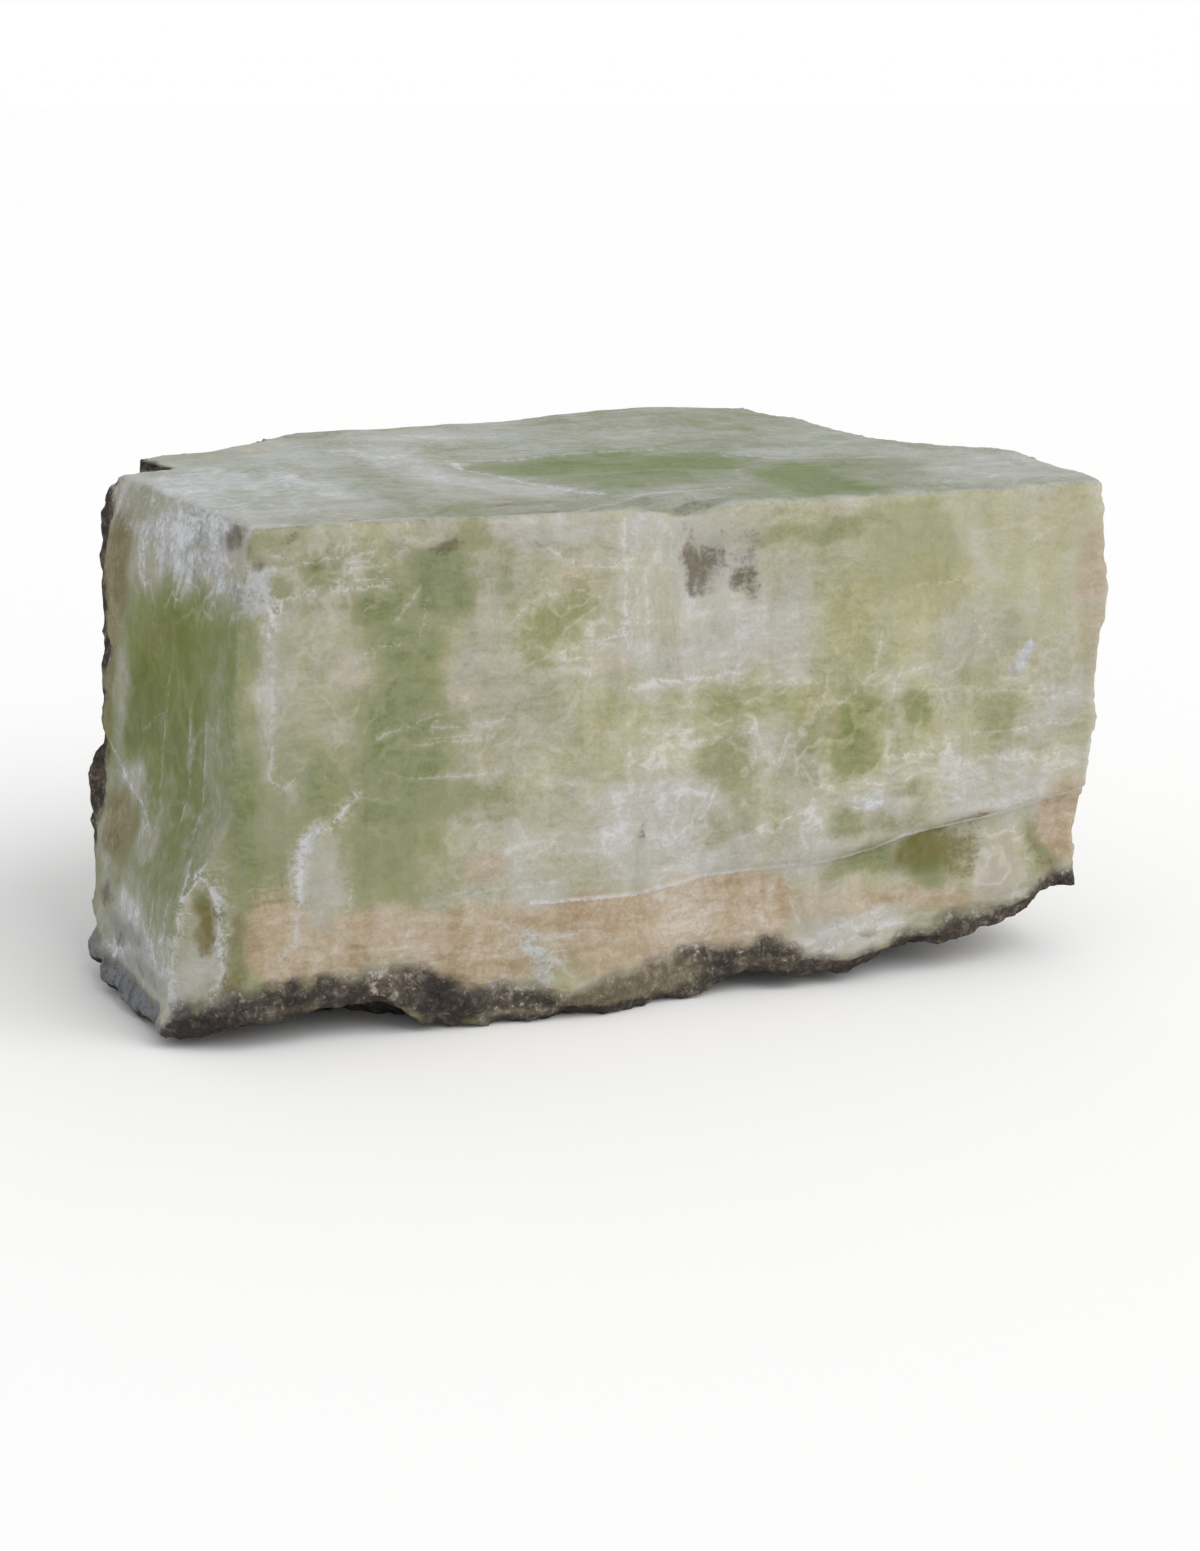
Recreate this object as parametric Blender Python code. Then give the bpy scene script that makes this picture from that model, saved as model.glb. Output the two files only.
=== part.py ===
"""Raw green calcite: one cleavage block, with a lumpy dark rind under its foot and on its back.

Lengths are in millimetres and are turned into metres when the mesh is placed. While the block is
shaped, x = 0, y = 0 is the near top corner, X runs along the front face, Y runs back and z = 0 is
the floor. The finished block is then moved so that the origin is on the floor, under the middle
of its box.
"""

import bisect
import math

import bmesh
import bpy
from mathutils import Vector, noise

MM = 0.001

# Driving dimensions.
HEIGHT = 52.0  # near top corner above the floor
TOP_RISE = 0.036  # rise of the top for each millimetre towards the back

# Vertical edges of the block, each from the floor up, as (z, x, y). The near edge leaves the
# crease where the toe of the left side stands out from it.
NEAR_EDGE = (
    (0.0, -9.6, 2.9),
    (6.0, -9.7, 2.6),
    (14.0, -8.7, 1.7),
    (19.0, -6.0, 0.6),
    (24.0, -3.2, -0.4),
    (41.0, -2.0, 0.0),
    (HEIGHT, 0.0, 0.0),
)
CREASE = (
    (0.0, -2.2, -1.8),
    (15.0, -1.9, -1.4),
    (27.0, -2.7, -1.0),
    (41.0, -1.6, -0.4),
    (HEIGHT, 0.9, -0.1),
)
RIGHT_EDGE = (
    (0.0, 88.6, -1.9),
    (8.0, 89.3, -1.7),
    (17.4, 91.2, -1.3),
    (32.8, 92.2, -0.7),
    (36.0, 92.9, -0.5),
    (42.2, 93.4, -0.3),
    (45.6, 92.5, -0.2),
    (HEIGHT, 92.2, 0.0),
)
REAR_LEFT_EDGE = (
    (0.0, -11.9, 25.0),
    (4.7, -12.1, 28.0),
    (7.4, -12.1, 30.5),
    (12.0, -11.8, 33.5),
    (19.8, -10.4, 34.0),
    (28.7, -10.7, 34.0),
    (35.5, -9.5, 34.0),
    (41.0, -9.9, 34.0),
    (45.0, -9.8, 34.2),
    (48.2, -9.2, 34.2),
    (HEIGHT, -7.6, 34.4),
)

# Grid of the block: cells along X, along Y and up. The rows that end at the crust, the ledge and
# the step follow those lines round the block, and a thin row above each of the last two is its lip.
CELLS_X = 36
CELLS_Y = 20
CRUST_ROW = 3
LEDGE_ROW = CRUST_ROW + 4
STEP_ROW = LEDGE_ROW + 6
CELLS_Z = STEP_ROW + 6
LIP = 0.5  # height of the sloping lip of a ledge or a step

# Sides of the block, as (column, edge).
FRONT = ((0, NEAR_EDGE), (2, CREASE), (CELLS_X, RIGHT_EDGE))
LEFT = ((0, NEAR_EDGE), (CELLS_Y, REAR_LEFT_EDGE))
REAR_RIGHT_EDGE = ((0.0, 70.0, 46.0), (HEIGHT, 74.4, 58.0))
BACK = (
    (0, REAR_LEFT_EDGE),
    (5, ((0.0, -8.0, 36.0), (HEIGHT, -2.4, 43.6))),
    (8, ((0.0, 0.0, 41.0), (HEIGHT, 5.0, 45.5))),
    (13, ((0.0, 14.0, 47.0), (HEIGHT, 16.3, 54.6))),
    (22, ((0.0, 38.0, 49.0), (HEIGHT, 38.7, 56.6))),
    (27, ((0.0, 50.0, 50.0), (HEIGHT, 50.6, 59.0))),
    (32, ((0.0, 62.0, 50.0), (HEIGHT, 64.6, 60.8))),
    (CELLS_X, REAR_RIGHT_EDGE),
)
RIGHT = (
    (0, RIGHT_EDGE),
    (3, ((0.0, 89.0, 7.0), (HEIGHT, 92.7, 10.6))),
    (7, ((0.0, 88.0, 15.0), (HEIGHT, 92.3, 21.3))),
    (10, ((0.0, 83.0, 21.0), (HEIGHT, 86.2, 27.0))),
    (13, ((0.0, 79.0, 28.0), (HEIGHT, 81.0, 34.6))),
    (17, ((0.0, 75.0, 38.0), (HEIGHT, 77.7, 47.4))),
    (CELLS_Y, REAR_RIGHT_EDGE),
)

# Heights above the floor along the front face, as (x, z): the underside of the rind, the top of
# its dark crust, and the line under the milky upper layer.
FRONT_FOOT = (
    (-10.0, 0.5),
    (-5.0, 1.2),
    (-2.4, 1.8),
    (10.5, 3.4),
    (18.9, 0.3),
    (39.0, 0.0),
    (46.2, 0.2),
    (52.0, 1.9),
    (58.5, 1.6),
    (73.6, 2.9),
    (84.4, 6.2),
    (89.3, 8.0),
)
FRONT_CRUST = (
    (-10.0, 3.6),
    (-2.3, 6.5),
    (10.5, 6.6),
    (19.0, 5.1),
    (30.0, 3.6),
    (46.3, 5.8),
    (58.5, 4.7),
    (73.5, 7.4),
    (90.0, 10.2),
)
FRONT_LEDGE = (
    (-9.0, 14.0),
    (-1.9, 15.3),
    (19.8, 15.0),
    (30.4, 11.8),
    (39.1, 11.5),
    (46.3, 13.2),
    (60.5, 13.1),
    (69.2, 15.2),
    (92.1, 19.0),
)
LEDGE_DEPTH = ((36.0, 0.0), (46.0, 0.5), (62.0, 1.4), (92.0, 1.4))

# Cleavage step on the rear half of the right side: below it the stone stands further out.
STEP_SHARE = 0.42  # height of the step, as a share of the way from the ledge to the top
STEP_COLUMN = 10
STEP_DEPTH = 1.8

# Underside of the rind along the other sides, as (share of the side, z).
LEFT_FOOT = ((0.0, 0.5), (0.5, 0.2), (1.0, 1.6))
BACK_FOOT = ((0.0, 1.6), (0.3, 9.0), (0.7, 8.0), (1.0, 9.5))
RIGHT_FOOT = ((0.0, 8.0), (0.5, 7.0), (1.0, 9.5))
CRUST_THICKNESS = 3.4
RIND_THICKNESS = 11.0

# The oval of the underside that comes down to the floor, and the flat spot in it.
CONTACT_CENTRE = (37.0, 20.0)
CONTACT_RADII = (35.0, 21.0)
CONTACT_SLOPE = 8.0
FLAT_SPOT_RADIUS = 9.0
FOOT_BLEND = 9.0  # distance over which the underside leaves the rim's height

# Relief. Each bump is (x, y, z, radius, height), and it moves the surface along its normal.
CRUST_BULGE = 0.9
CRUST_LUMP = 1.3
CRUST_LUMP_SIZE = 6.5
BACK_LUMP = 3.0
BACK_LUMP_SIZE = 12.0
FACE_WAVE = 0.22
FACE_WAVE_SIZE = 14.0
DOME = (64.0, 50.0, 22.0, 0.7)  # x, y, radius and height of the swelling on the top
TOP_CHIP = (44.5, 0.0, 6.0, 1.3)  # x, y, radius and depth of the bruise on the top's front edge
BUMPS = (
    (61.5, -1.8, 6.2, 5.5, 1.1),
    (22.0, -2.2, 1.5, 9.0, 0.5),
    (34.0, -2.6, 2.0, 12.0, 1.7),
    (89.5, -1.5, 12.0, 5.0, 0.5),
)

# The broken strip of rind at the rear left corner of the top, lower than the rest.
STEP_FLOOR = 51.9
STEP_CENTRE = (-7.4, 42.0)
STEP_SIZE = (9.0, 18.0, 6.0)
STEP_TURN = math.radians(14.0)

STONE_COLOUR = (0.39, 0.42, 0.30, 1.0)
STONE_ROUGHNESS = 0.5


def read_line(points, at):
    """The value at a place along a line of (place, value) points, level past its ends."""
    places = [point[0] for point in points]
    after = bisect.bisect_right(places, at)
    if after == 0:
        return points[0][1]
    if after == len(points):
        return points[-1][1]
    low = points[after - 1]
    high = points[after]
    share = (at - low[0]) / (high[0] - low[0])
    return low[1] + (high[1] - low[1]) * share


def smooth_step(value):
    value = min(max(value, 0.0), 1.0)
    return value * value * (3.0 - 2.0 * value)


def edge_at(edge, z):
    """Plan point of a vertical edge at height z."""
    x = read_line([(point[0], point[1]) for point in edge], z)
    y = read_line([(point[0], point[2]) for point in edge], z)
    return Vector((x, y))


def side_at(side, column, z):
    """Plan point of a side at a grid column, at height z."""
    for (low, low_edge), (high, high_edge) in zip(side, side[1:]):
        if column <= high:
            share = (column - low) / (high - low)
            return edge_at(low_edge, z).lerp(edge_at(high_edge, z), share)
    return edge_at(side[-1][1], z)


def top_height(plan):
    """Height of the top face, which rises a little towards the back and swells there."""
    x, y, radius, height = DOME
    dome = height * smooth_step(1.0 - math.hypot(plan.x - x, plan.y - y) / radius)
    x, y, radius, depth = TOP_CHIP
    chip = depth * smooth_step(1.0 - math.hypot(plan.x - x, 1.6 * (plan.y - y)) / radius)
    return HEIGHT + TOP_RISE * plan.y + dome - chip


def rim_heights(side, column):
    """Foot, crust top and ledge heights of a side at a grid column."""
    if side is FRONT:
        x = side_at(side, column, 0.0).x
        return read_line(FRONT_FOOT, x), read_line(FRONT_CRUST, x), read_line(FRONT_LEDGE, x)
    if side is LEFT:
        share = column / CELLS_Y
        foot = read_line(LEFT_FOOT, share)
        crust = foot + read_line(((0.0, 2.6), (1.0, CRUST_THICKNESS)), share)
        ledge = read_line(((0.0, 14.0), (1.0, 3.0 + RIND_THICKNESS)), share)
        return foot, crust, ledge
    if side is BACK:
        foot = read_line(BACK_FOOT, column / CELLS_X)
        return foot, foot + CRUST_THICKNESS, foot + RIND_THICKNESS
    share = column / CELLS_Y
    foot = read_line(RIGHT_FOOT, share)
    crust = foot + read_line(((0.0, 2.2), (1.0, CRUST_THICKNESS)), share)
    return foot, crust, foot + RIND_THICKNESS


def row_height(row, side, column):
    """Height of a grid row on a side. Rows follow the crust, the ledge and the top's edge."""
    foot, crust, ledge = rim_heights(side, column)
    top = top_height(side_at(side, column, HEIGHT))
    step = ledge + (top - ledge) * STEP_SHARE
    lines = (
        (0, foot),
        (CRUST_ROW, crust),
        (LEDGE_ROW, ledge),
        (LEDGE_ROW + 1, ledge + LIP),
        (STEP_ROW, step),
        (STEP_ROW + 1, step + LIP),
        (CELLS_Z, top),
    )
    return read_line(lines, row)


def side_point(side, column, row):
    z = row_height(row, side, column)
    plan = side_at(side, column, z)
    if side is FRONT and CRUST_ROW < row <= LEDGE_ROW:
        plan.y += read_line(LEDGE_DEPTH, plan.x) * min(1.0, (row - CRUST_ROW) / 2)
    if side is RIGHT and CRUST_ROW < row <= STEP_ROW and STEP_COLUMN <= column < CELLS_Y:
        plan.x += STEP_DEPTH
    return Vector((plan.x, plan.y, z))


def cap_point(i, j, row):
    """Point of the top or the underside: a Coons patch between its four rims."""
    u = i / CELLS_X
    v = j / CELLS_Y
    front = side_point(FRONT, i, row)
    back = side_point(BACK, i, row)
    left = side_point(LEFT, j, row)
    right = side_point(RIGHT, j, row)
    near_left = side_point(FRONT, 0, row)
    near_right = side_point(FRONT, CELLS_X, row)
    far_left = side_point(BACK, 0, row)
    far_right = side_point(BACK, CELLS_X, row)
    across = front.lerp(back, v)
    along = left.lerp(right, u)
    corners = near_left.lerp(near_right, u).lerp(far_left.lerp(far_right, u), v)
    point = across + along - corners
    if row == CELLS_Z:
        point.z = top_height(point)
        return point
    rim = min(
        (point - front).length,
        (point - back).length,
        (point - left).length,
        (point - right).length,
    )
    underside = Vector((point.x, point.y, underside_height(point)))
    return point.lerp(underside, smooth_step(rim / FOOT_BLEND))


def underside_height(plan):
    """Height of the underside away from its rim: an oval at the floor, rising outside it."""
    offset = Vector((plan.x - CONTACT_CENTRE[0], plan.y - CONTACT_CENTRE[1]))
    reach = math.hypot(offset.x / CONTACT_RADII[0], offset.y / CONTACT_RADII[1])
    return max(0.0, (reach - 1.0) * CONTACT_SLOPE)


def grid_point(i, j, k):
    """Place of the grid vertex in column i, j and row k of the block."""
    if j == 0:
        return side_point(FRONT, i, k)
    if i == 0:
        return side_point(LEFT, j, k)
    if j == CELLS_Y:
        return side_point(BACK, i, k)
    if i == CELLS_X:
        return side_point(RIGHT, j, k)
    return cap_point(i, j, k)


def subdivided_cube():
    """A unit cube with its corner at the origin, cut into the block's grid."""
    bm = bmesh.new()
    bmesh.ops.create_cube(bm, size=1.0)
    bmesh.ops.translate(bm, verts=bm.verts, vec=(0.5, 0.5, 0.5))
    for axis, cells in enumerate((CELLS_X, CELLS_Y, CELLS_Z)):
        edges = [
            edge
            for edge in bm.edges
            if abs(edge.verts[0].co[axis] - edge.verts[1].co[axis]) > 0.5
        ]
        bmesh.ops.subdivide_edges(bm, edges=edges, cuts=cells - 1, use_grid_fill=True)
    return bm


def relief(point, rind, bulge):
    """How far the surface stands out at a point. rind is 1 on the dark crust and 0 on clean stone,
    and bulge is 1 on the broad lumps of the back."""
    lump = noise.fractal(point / CRUST_LUMP_SIZE, 0.9, 2.1, 3)
    wave = noise.noise(point / FACE_WAVE_SIZE + Vector((7.0, 3.0, 1.0)))
    back_lump = noise.noise(point / BACK_LUMP_SIZE + Vector((3.0, 9.0, 5.0)))
    height = rind * CRUST_LUMP * lump + (1.0 - rind) * FACE_WAVE * wave
    height += bulge * BACK_LUMP * back_lump
    for x, y, z, radius, bump in BUMPS:
        height += bump * smooth_step(1.0 - (point - Vector((x, y, z))).length / radius)
    return height


def relief_share(point):
    """How much of its relief the underside keeps at a point: none on the flat spot."""
    offset = Vector((point.x - CONTACT_CENTRE[0], point.y - CONTACT_CENTRE[1]))
    return smooth_step(offset.length / FLAT_SPOT_RADIUS - 1.0)


def rind_share(j, k):
    """How much of the rough rind a grid vertex has: the crust, the underside and the back have all
    of it."""
    if k < CRUST_ROW or j == CELLS_Y and k < CELLS_Z:
        return 1.0
    if k == CRUST_ROW:
        return 0.5
    return 0.0


def shape_block(bm):
    """Moves each vertex of the cube's grid to its place on the block, then adds the relief."""
    cells = {}
    for vertex in bm.verts:
        i = round(vertex.co.x * CELLS_X)
        j = round(vertex.co.y * CELLS_Y)
        k = round(vertex.co.z * CELLS_Z)
        vertex.co = grid_point(i, j, k)
        cells[vertex] = (j, k)
    bm.normal_update()
    moves = {}
    for vertex, (j, k) in cells.items():
        bulge = 1.0 if j == CELLS_Y and CRUST_ROW < k < CELLS_Z else 0.0
        height = relief(vertex.co, rind_share(j, k), bulge)
        if k == 0:
            height *= relief_share(vertex.co)
        elif k < CRUST_ROW:
            height += CRUST_BULGE
        moves[vertex] = vertex.normal * height
    for vertex, move in moves.items():
        vertex.co += move
        vertex.co.z = max(vertex.co.z, 0.0)


def make_stone():
    """Sage green stone."""
    material = bpy.data.materials.new("green_calcite")
    material.use_nodes = True
    shader = material.node_tree.nodes["Principled BSDF"]
    shader.inputs["Base Color"].default_value = STONE_COLOUR
    shader.inputs["Roughness"].default_value = STONE_ROUGHNESS
    shader.inputs["Metallic"].default_value = 0.0
    material.diffuse_color = STONE_COLOUR
    return material


def make_object(name, bm, collection):
    mesh = bpy.data.meshes.new(name)
    bm.to_mesh(mesh)
    bm.free()
    made = bpy.data.objects.new(name, mesh)
    collection.objects.link(made)
    return made


def add_block(collection):
    bm = subdivided_cube()
    shape_block(bm)
    bmesh.ops.recalc_face_normals(bm, faces=bm.faces)
    block = make_object("calcite_block", bm, collection)
    block.data.materials.append(make_stone())
    return block


def add_step_cutter(collection):
    """The box that takes the top off the broken strip of rind."""
    bm = bmesh.new()
    bmesh.ops.create_cube(bm, size=1.0)
    bmesh.ops.scale(bm, vec=STEP_SIZE, verts=bm.verts)
    cutter = make_object("rind_step_cutter", bm, collection)
    cutter.rotation_euler.z = STEP_TURN
    cutter.location = (*STEP_CENTRE, STEP_FLOOR + STEP_SIZE[2] / 2)
    cutter.hide_render = True
    cutter.display_type = "WIRE"
    return cutter


def cut_away(target, cutter):
    """Cuts the cutter out of the target and keeps the result as the target's own mesh."""
    boolean = target.modifiers.new("broken_step", "BOOLEAN")
    boolean.operation = "DIFFERENCE"
    boolean.solver = "EXACT"
    boolean.object = cutter
    graph = bpy.context.evaluated_depsgraph_get()
    cut_mesh = bpy.data.meshes.new_from_object(target.evaluated_get(graph))
    target.modifiers.clear()
    target.data = cut_mesh


def stand_on_origin(block):
    """Turns millimetres into metres, with the origin under the middle of the block's box."""
    corners = [vertex.co for vertex in block.data.vertices]
    middle_x = (min(co.x for co in corners) + max(co.x for co in corners)) / 2
    middle_y = (min(co.y for co in corners) + max(co.y for co in corners)) / 2
    lowest = min(co.z for co in corners)
    for vertex in block.data.vertices:
        vertex.co = (vertex.co - Vector((middle_x, middle_y, lowest))) * MM
    return middle_x, middle_y, lowest


def main():
    for old in list(bpy.data.objects):
        bpy.data.objects.remove(old, do_unlink=True)
    scene_collection = bpy.context.scene.collection
    stone = bpy.data.collections.new("raw_green_calcite")
    cutters = bpy.data.collections.new("cutters")
    scene_collection.children.link(stone)
    scene_collection.children.link(cutters)
    block = add_block(stone)
    cutter = add_step_cutter(cutters)
    bpy.context.view_layer.update()
    cut_away(block, cutter)
    shift = stand_on_origin(block)
    print("near top corner is", [round(value, 2) for value in shift], "mm before the origin")


main()
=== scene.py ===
"""The looks of the raw green calcite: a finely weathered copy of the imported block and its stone.

Places on the stone are in "stone millimetres": x = 0, y = 0 is the block's near top corner in plan,
X runs along the front face, Y runs back and z = 0 is the floor. Markings on the front are given as
(x, z), on the left side as (y, z) and on the top as (x, y).

The stone's colour follows how milky it is: clear stone is deep green, milky stone is pale grey.
"""

import math

import bpy
import numpy as np
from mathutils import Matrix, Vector, noise


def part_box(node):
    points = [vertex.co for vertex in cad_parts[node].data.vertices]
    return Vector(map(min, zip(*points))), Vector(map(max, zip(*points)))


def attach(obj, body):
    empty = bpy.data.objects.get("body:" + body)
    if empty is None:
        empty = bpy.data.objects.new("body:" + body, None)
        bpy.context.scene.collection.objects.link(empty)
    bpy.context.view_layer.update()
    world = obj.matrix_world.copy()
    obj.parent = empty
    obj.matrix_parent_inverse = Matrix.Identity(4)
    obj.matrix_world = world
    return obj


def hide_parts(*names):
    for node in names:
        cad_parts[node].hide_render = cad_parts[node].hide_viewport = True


MM = 0.001

# The near top corner of the block in the frame of the part, in millimetres.
NEAR_CORNER = np.array((-39.71, -28.16, 0.0))

VOXEL = 0.56 * MM  # grain of the fine mesh
EDGE_REACH = 12  # smoothing rounds that find the worn edges
SQUARENESS = 2.6  # of a patch, where 2 is an ellipse
FAR = 9.0  # stands for far from any line
LEFT_END = 34.5  # how far back the left side goes, in stone millimetres
UNDER_TOP = 11.0  # height of the underside's highest part
LIP_START = 27.0  # x from which the ledge's lip has a painted highlight

# Relief of the surface, in millimetres.
EDGE_WEAR = 0.1
EDGE_CHIPS = 0.6
FINE_CHIPS = 0.12
LYING_RIDGES = 0.08
UPRIGHT_RIDGES = 0.06
BAND_FOOT = 48.6  # height of the foot of the chipped band under the top's front edge
BAND_RISE = 0.3
PIT_DEPTH = 0.4
WINDOW_DEPTH = 0.2
TOP_SWELL = 0.16
CRUST_GRIT = 0.5
CRUST_LUMPS = 0.8
CRUST_SINK = 0.15
SHOWN_LESS_GRIT = 0.2  # less on the front and left
SHOWN_LESS_LUMPS = 0.55
REAR_GRIT = 0.22
REAR_LUMPS = 0.3
REAR_SINK = 0.3

# Terraces of the front, as (height, start, end, step).
TERRACES = (
    (34.2, 38.0, 62.0, 0.16),
    (31.0, 46.0, 64.0, 0.12),
    (27.9, 45.0, 72.0, 0.12),
    (25.0, 58.0, 88.0, 0.10),
)

# Reach of the dark crust on the sides other than the front, in stone millimetres.
LEFT_CRUST = 2.6  # height at the near corner
LEFT_CRUST_RISE = 0.05  # height gained with each millimetre back
REAR_EDGE = 30.7  # how far back the left side's dark edge starts
BACK_CRUST = 15.0  # height up to which the back is all crust
BACK_WRAP = -5.0  # x up to which the back's left end is all crust
RIGHT_CRUST = 11.0  # height

# Settings of the stone's shader.
SHADER = (
    ("IOR", 1.5),
    ("Specular IOR Level", 0.05),
    ("Subsurface Weight", 0.15),
    ("Subsurface Radius", (1.0, 1.0, 0.6)),
    ("Subsurface Scale", 1.2 * MM),
)
LEAST_COLOUR = (0.004, 0.004, 0.004)
BUMP_STRENGTH = 0.5
BUMP_HEIGHT = 0.35 * MM

# How much each kind of grain, and the painted glints, change how milky the stone is.
FEATHER = 0.92
MOTTLE = 0.42
SPECK = 0.32
FIBRE = 0.66
BANDS = 0.09
POSTS = 0.1
TOP_STREAKS = 0.3  # share of the fibres, bands and posts that is left on the top
WEB = 0.3
VEIN = 0.75
# painted glints of broken crystal, as small white dots
GLINTS = 0.3

# Light: a broad soft key from the front right, and a dome that is brightest at the horizon and
# dimmer to the left.
KEY_FROM = Vector((0.5, -0.55, 0.7))
KEY_POWER = 1.3
KEY_ANGLE = math.radians(50.0)
HORIZON_LIGHT = 1.0
ZENITH_LIGHT = 0.82
SKY_FADE = (0.12, 0.6)
SHADED_SIDE = 0.6
SHADE_FADE = (-0.85, 0.1)
FLOOR_COLOUR = (0.96, 0.96, 0.957, 1.0)
FLOOR_REACH = 40.0

# Camera, in stone millimetres.
CAMERA_PLACE = Vector((-50.2, -241.9, 91.3))
CAMERA_AIM = Vector((0.3224, 0.9126, -0.2515))
PHOTO_HEIGHT_PX = 1551
FOCAL_PX = 2600
SENSOR_MM = 36.0

# The light on each side, as (what it multiplies the base colour by, what the gloss adds).
FRONT_LIGHT = (1.07, 0.004)
TOP_LIGHT = (1.035, 0.015)
LEFT_LIGHT = (0.68, 0.025)
LEFT_SHADE = 0.7  # brightness of pale colours on the left, as a share


def linear(channel):
    """Linear value of an sRGB channel from 0 to 255."""
    channel = channel / 255
    return channel / 12.92 if channel <= 0.04045 else ((channel + 0.055) / 1.055) ** 2.4


def seen_as(*channels):
    """The linear colour of an sRGB colour, as the stone is seen."""
    return (*(linear(channel) for channel in channels), 1.0)


# Colours as they are seen, as (milkiness or grain, and sRGB channels of 0 to 255).
FRONT_STONE = (
    (0.0, 116, 124, 84),
    (0.14, 136, 141, 107),
    (0.32, 150, 150, 118),
    (0.5, 165, 162, 137),
    (0.68, 178, 174, 153),
    (0.84, 188, 184, 170),
    (1.0, 203, 202, 194),
)
TOP_STONE = (
    (0.0, 120, 131, 94),
    (0.14, 135, 143, 112),
    (0.32, 148, 152, 134),
    (0.5, 162, 165, 154),
    (0.68, 174, 177, 172),
    (0.84, 184, 187, 185),
    (1.0, 201, 204, 207),
)
LEFT_STONE = (
    (0.0, 99, 104, 70),
    (0.16, 108, 113, 80),
    (0.34, 117, 123, 92),
    (0.52, 129, 132, 112),
    (0.7, 143, 143, 131),
    (0.85, 158, 159, 155),
    (1.0, 182, 186, 190),
)
REAR_STONE = (
    (0.0, 104, 108, 70),
    (0.3, 130, 130, 98),
    (0.55, 152, 149, 124),
    (0.8, 172, 168, 151),
    (1.0, 190, 189, 180),
)
GREY_MILK = (
    (0.2, 150, 150, 134),
    (0.6, 176, 173, 161),
    (0.8, 187, 184, 178),
    (1.0, 203, 202, 201),
)
STAINED = (
    (0.0, 150, 128, 102),
    (0.3, 168, 147, 121),
    (0.5, 177, 161, 139),
    (0.75, 187, 173, 155),
    (1.0, 200, 192, 180),
)
STAINED_LEFT = (
    (0.0, 92, 83, 62),
    (0.4, 115, 108, 87),
    (0.7, 130, 124, 104),
    (1.0, 152, 148, 132),
)
FROSTED = (
    (0.1, 151, 154, 149),
    (0.45, 176, 178, 176),
    (0.7, 191, 193, 194),
    (1.0, 211, 214, 219),
)
WHITE = seen_as(191, 193, 194)
# Painted highlight along the lip of the ledge.
LIP_HIGHLIGHT = seen_as(203, 202, 201)
OLIVE = seen_as(116, 110, 64)
BROWN_OLIVE = seen_as(120, 104, 66)
BRUISE_AND_SHADE = (0.33, 0.29, 0.23, 1.0)  # multiplies the stone's colour: dark bruises, painted shadow, and darkening towards the crust
CRUST = (
    (0.0, 50, 46, 46),
    (0.35, 72, 67, 64),
    (0.6, 102, 94, 84),
    (0.8, 136, 128, 118),
    (1.0, 176, 171, 165),
)
COLD_CRUST = seen_as(139, 143, 149)
YELLOWED = (1.01, 1.01, 0.84, 1.0)  # multiplies the stone's colour
GLAZE = (
    (0.0, 84, 76, 58),
    (0.5, 122, 114, 96),
    (1.0, 160, 154, 138),
)

# How milky the plain stone is along each side, as (x or z, milkiness).
FRONT_MILKINESS = (
    (-13.0, 0.44),
    (0.0, 0.43),
    (15.0, 0.45),
    (22.0, 0.54),
    (34.0, 0.65),
    (42.0, 0.67),
    (58.0, 0.66),
    (66.0, 0.59),
    (76.0, 0.63),
    (82.0, 0.72),
    (95.0, 0.72),
)
LEFT_MILKINESS = (
    (0.0, 0.66),
    (9.0, 0.66),
    (12.0, 0.55),
    (20.0, 0.45),
    (30.0, 0.36),
    (42.0, 0.4),
    (46.0, 0.66),
    (56.0, 0.74),
)
TOP_MILKINESS = (
    (-13.0, 0.64),
    (13.0, 0.62),
    (17.5, 0.45),
    (21.0, 0.52),
    (25.0, 0.6),
    (31.0, 0.55),
    (42.0, 0.47),
    (76.0, 0.46),
    (84.0, 0.56),
    (95.0, 0.6),
)
REAR_MILKINESS = 0.5

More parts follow.
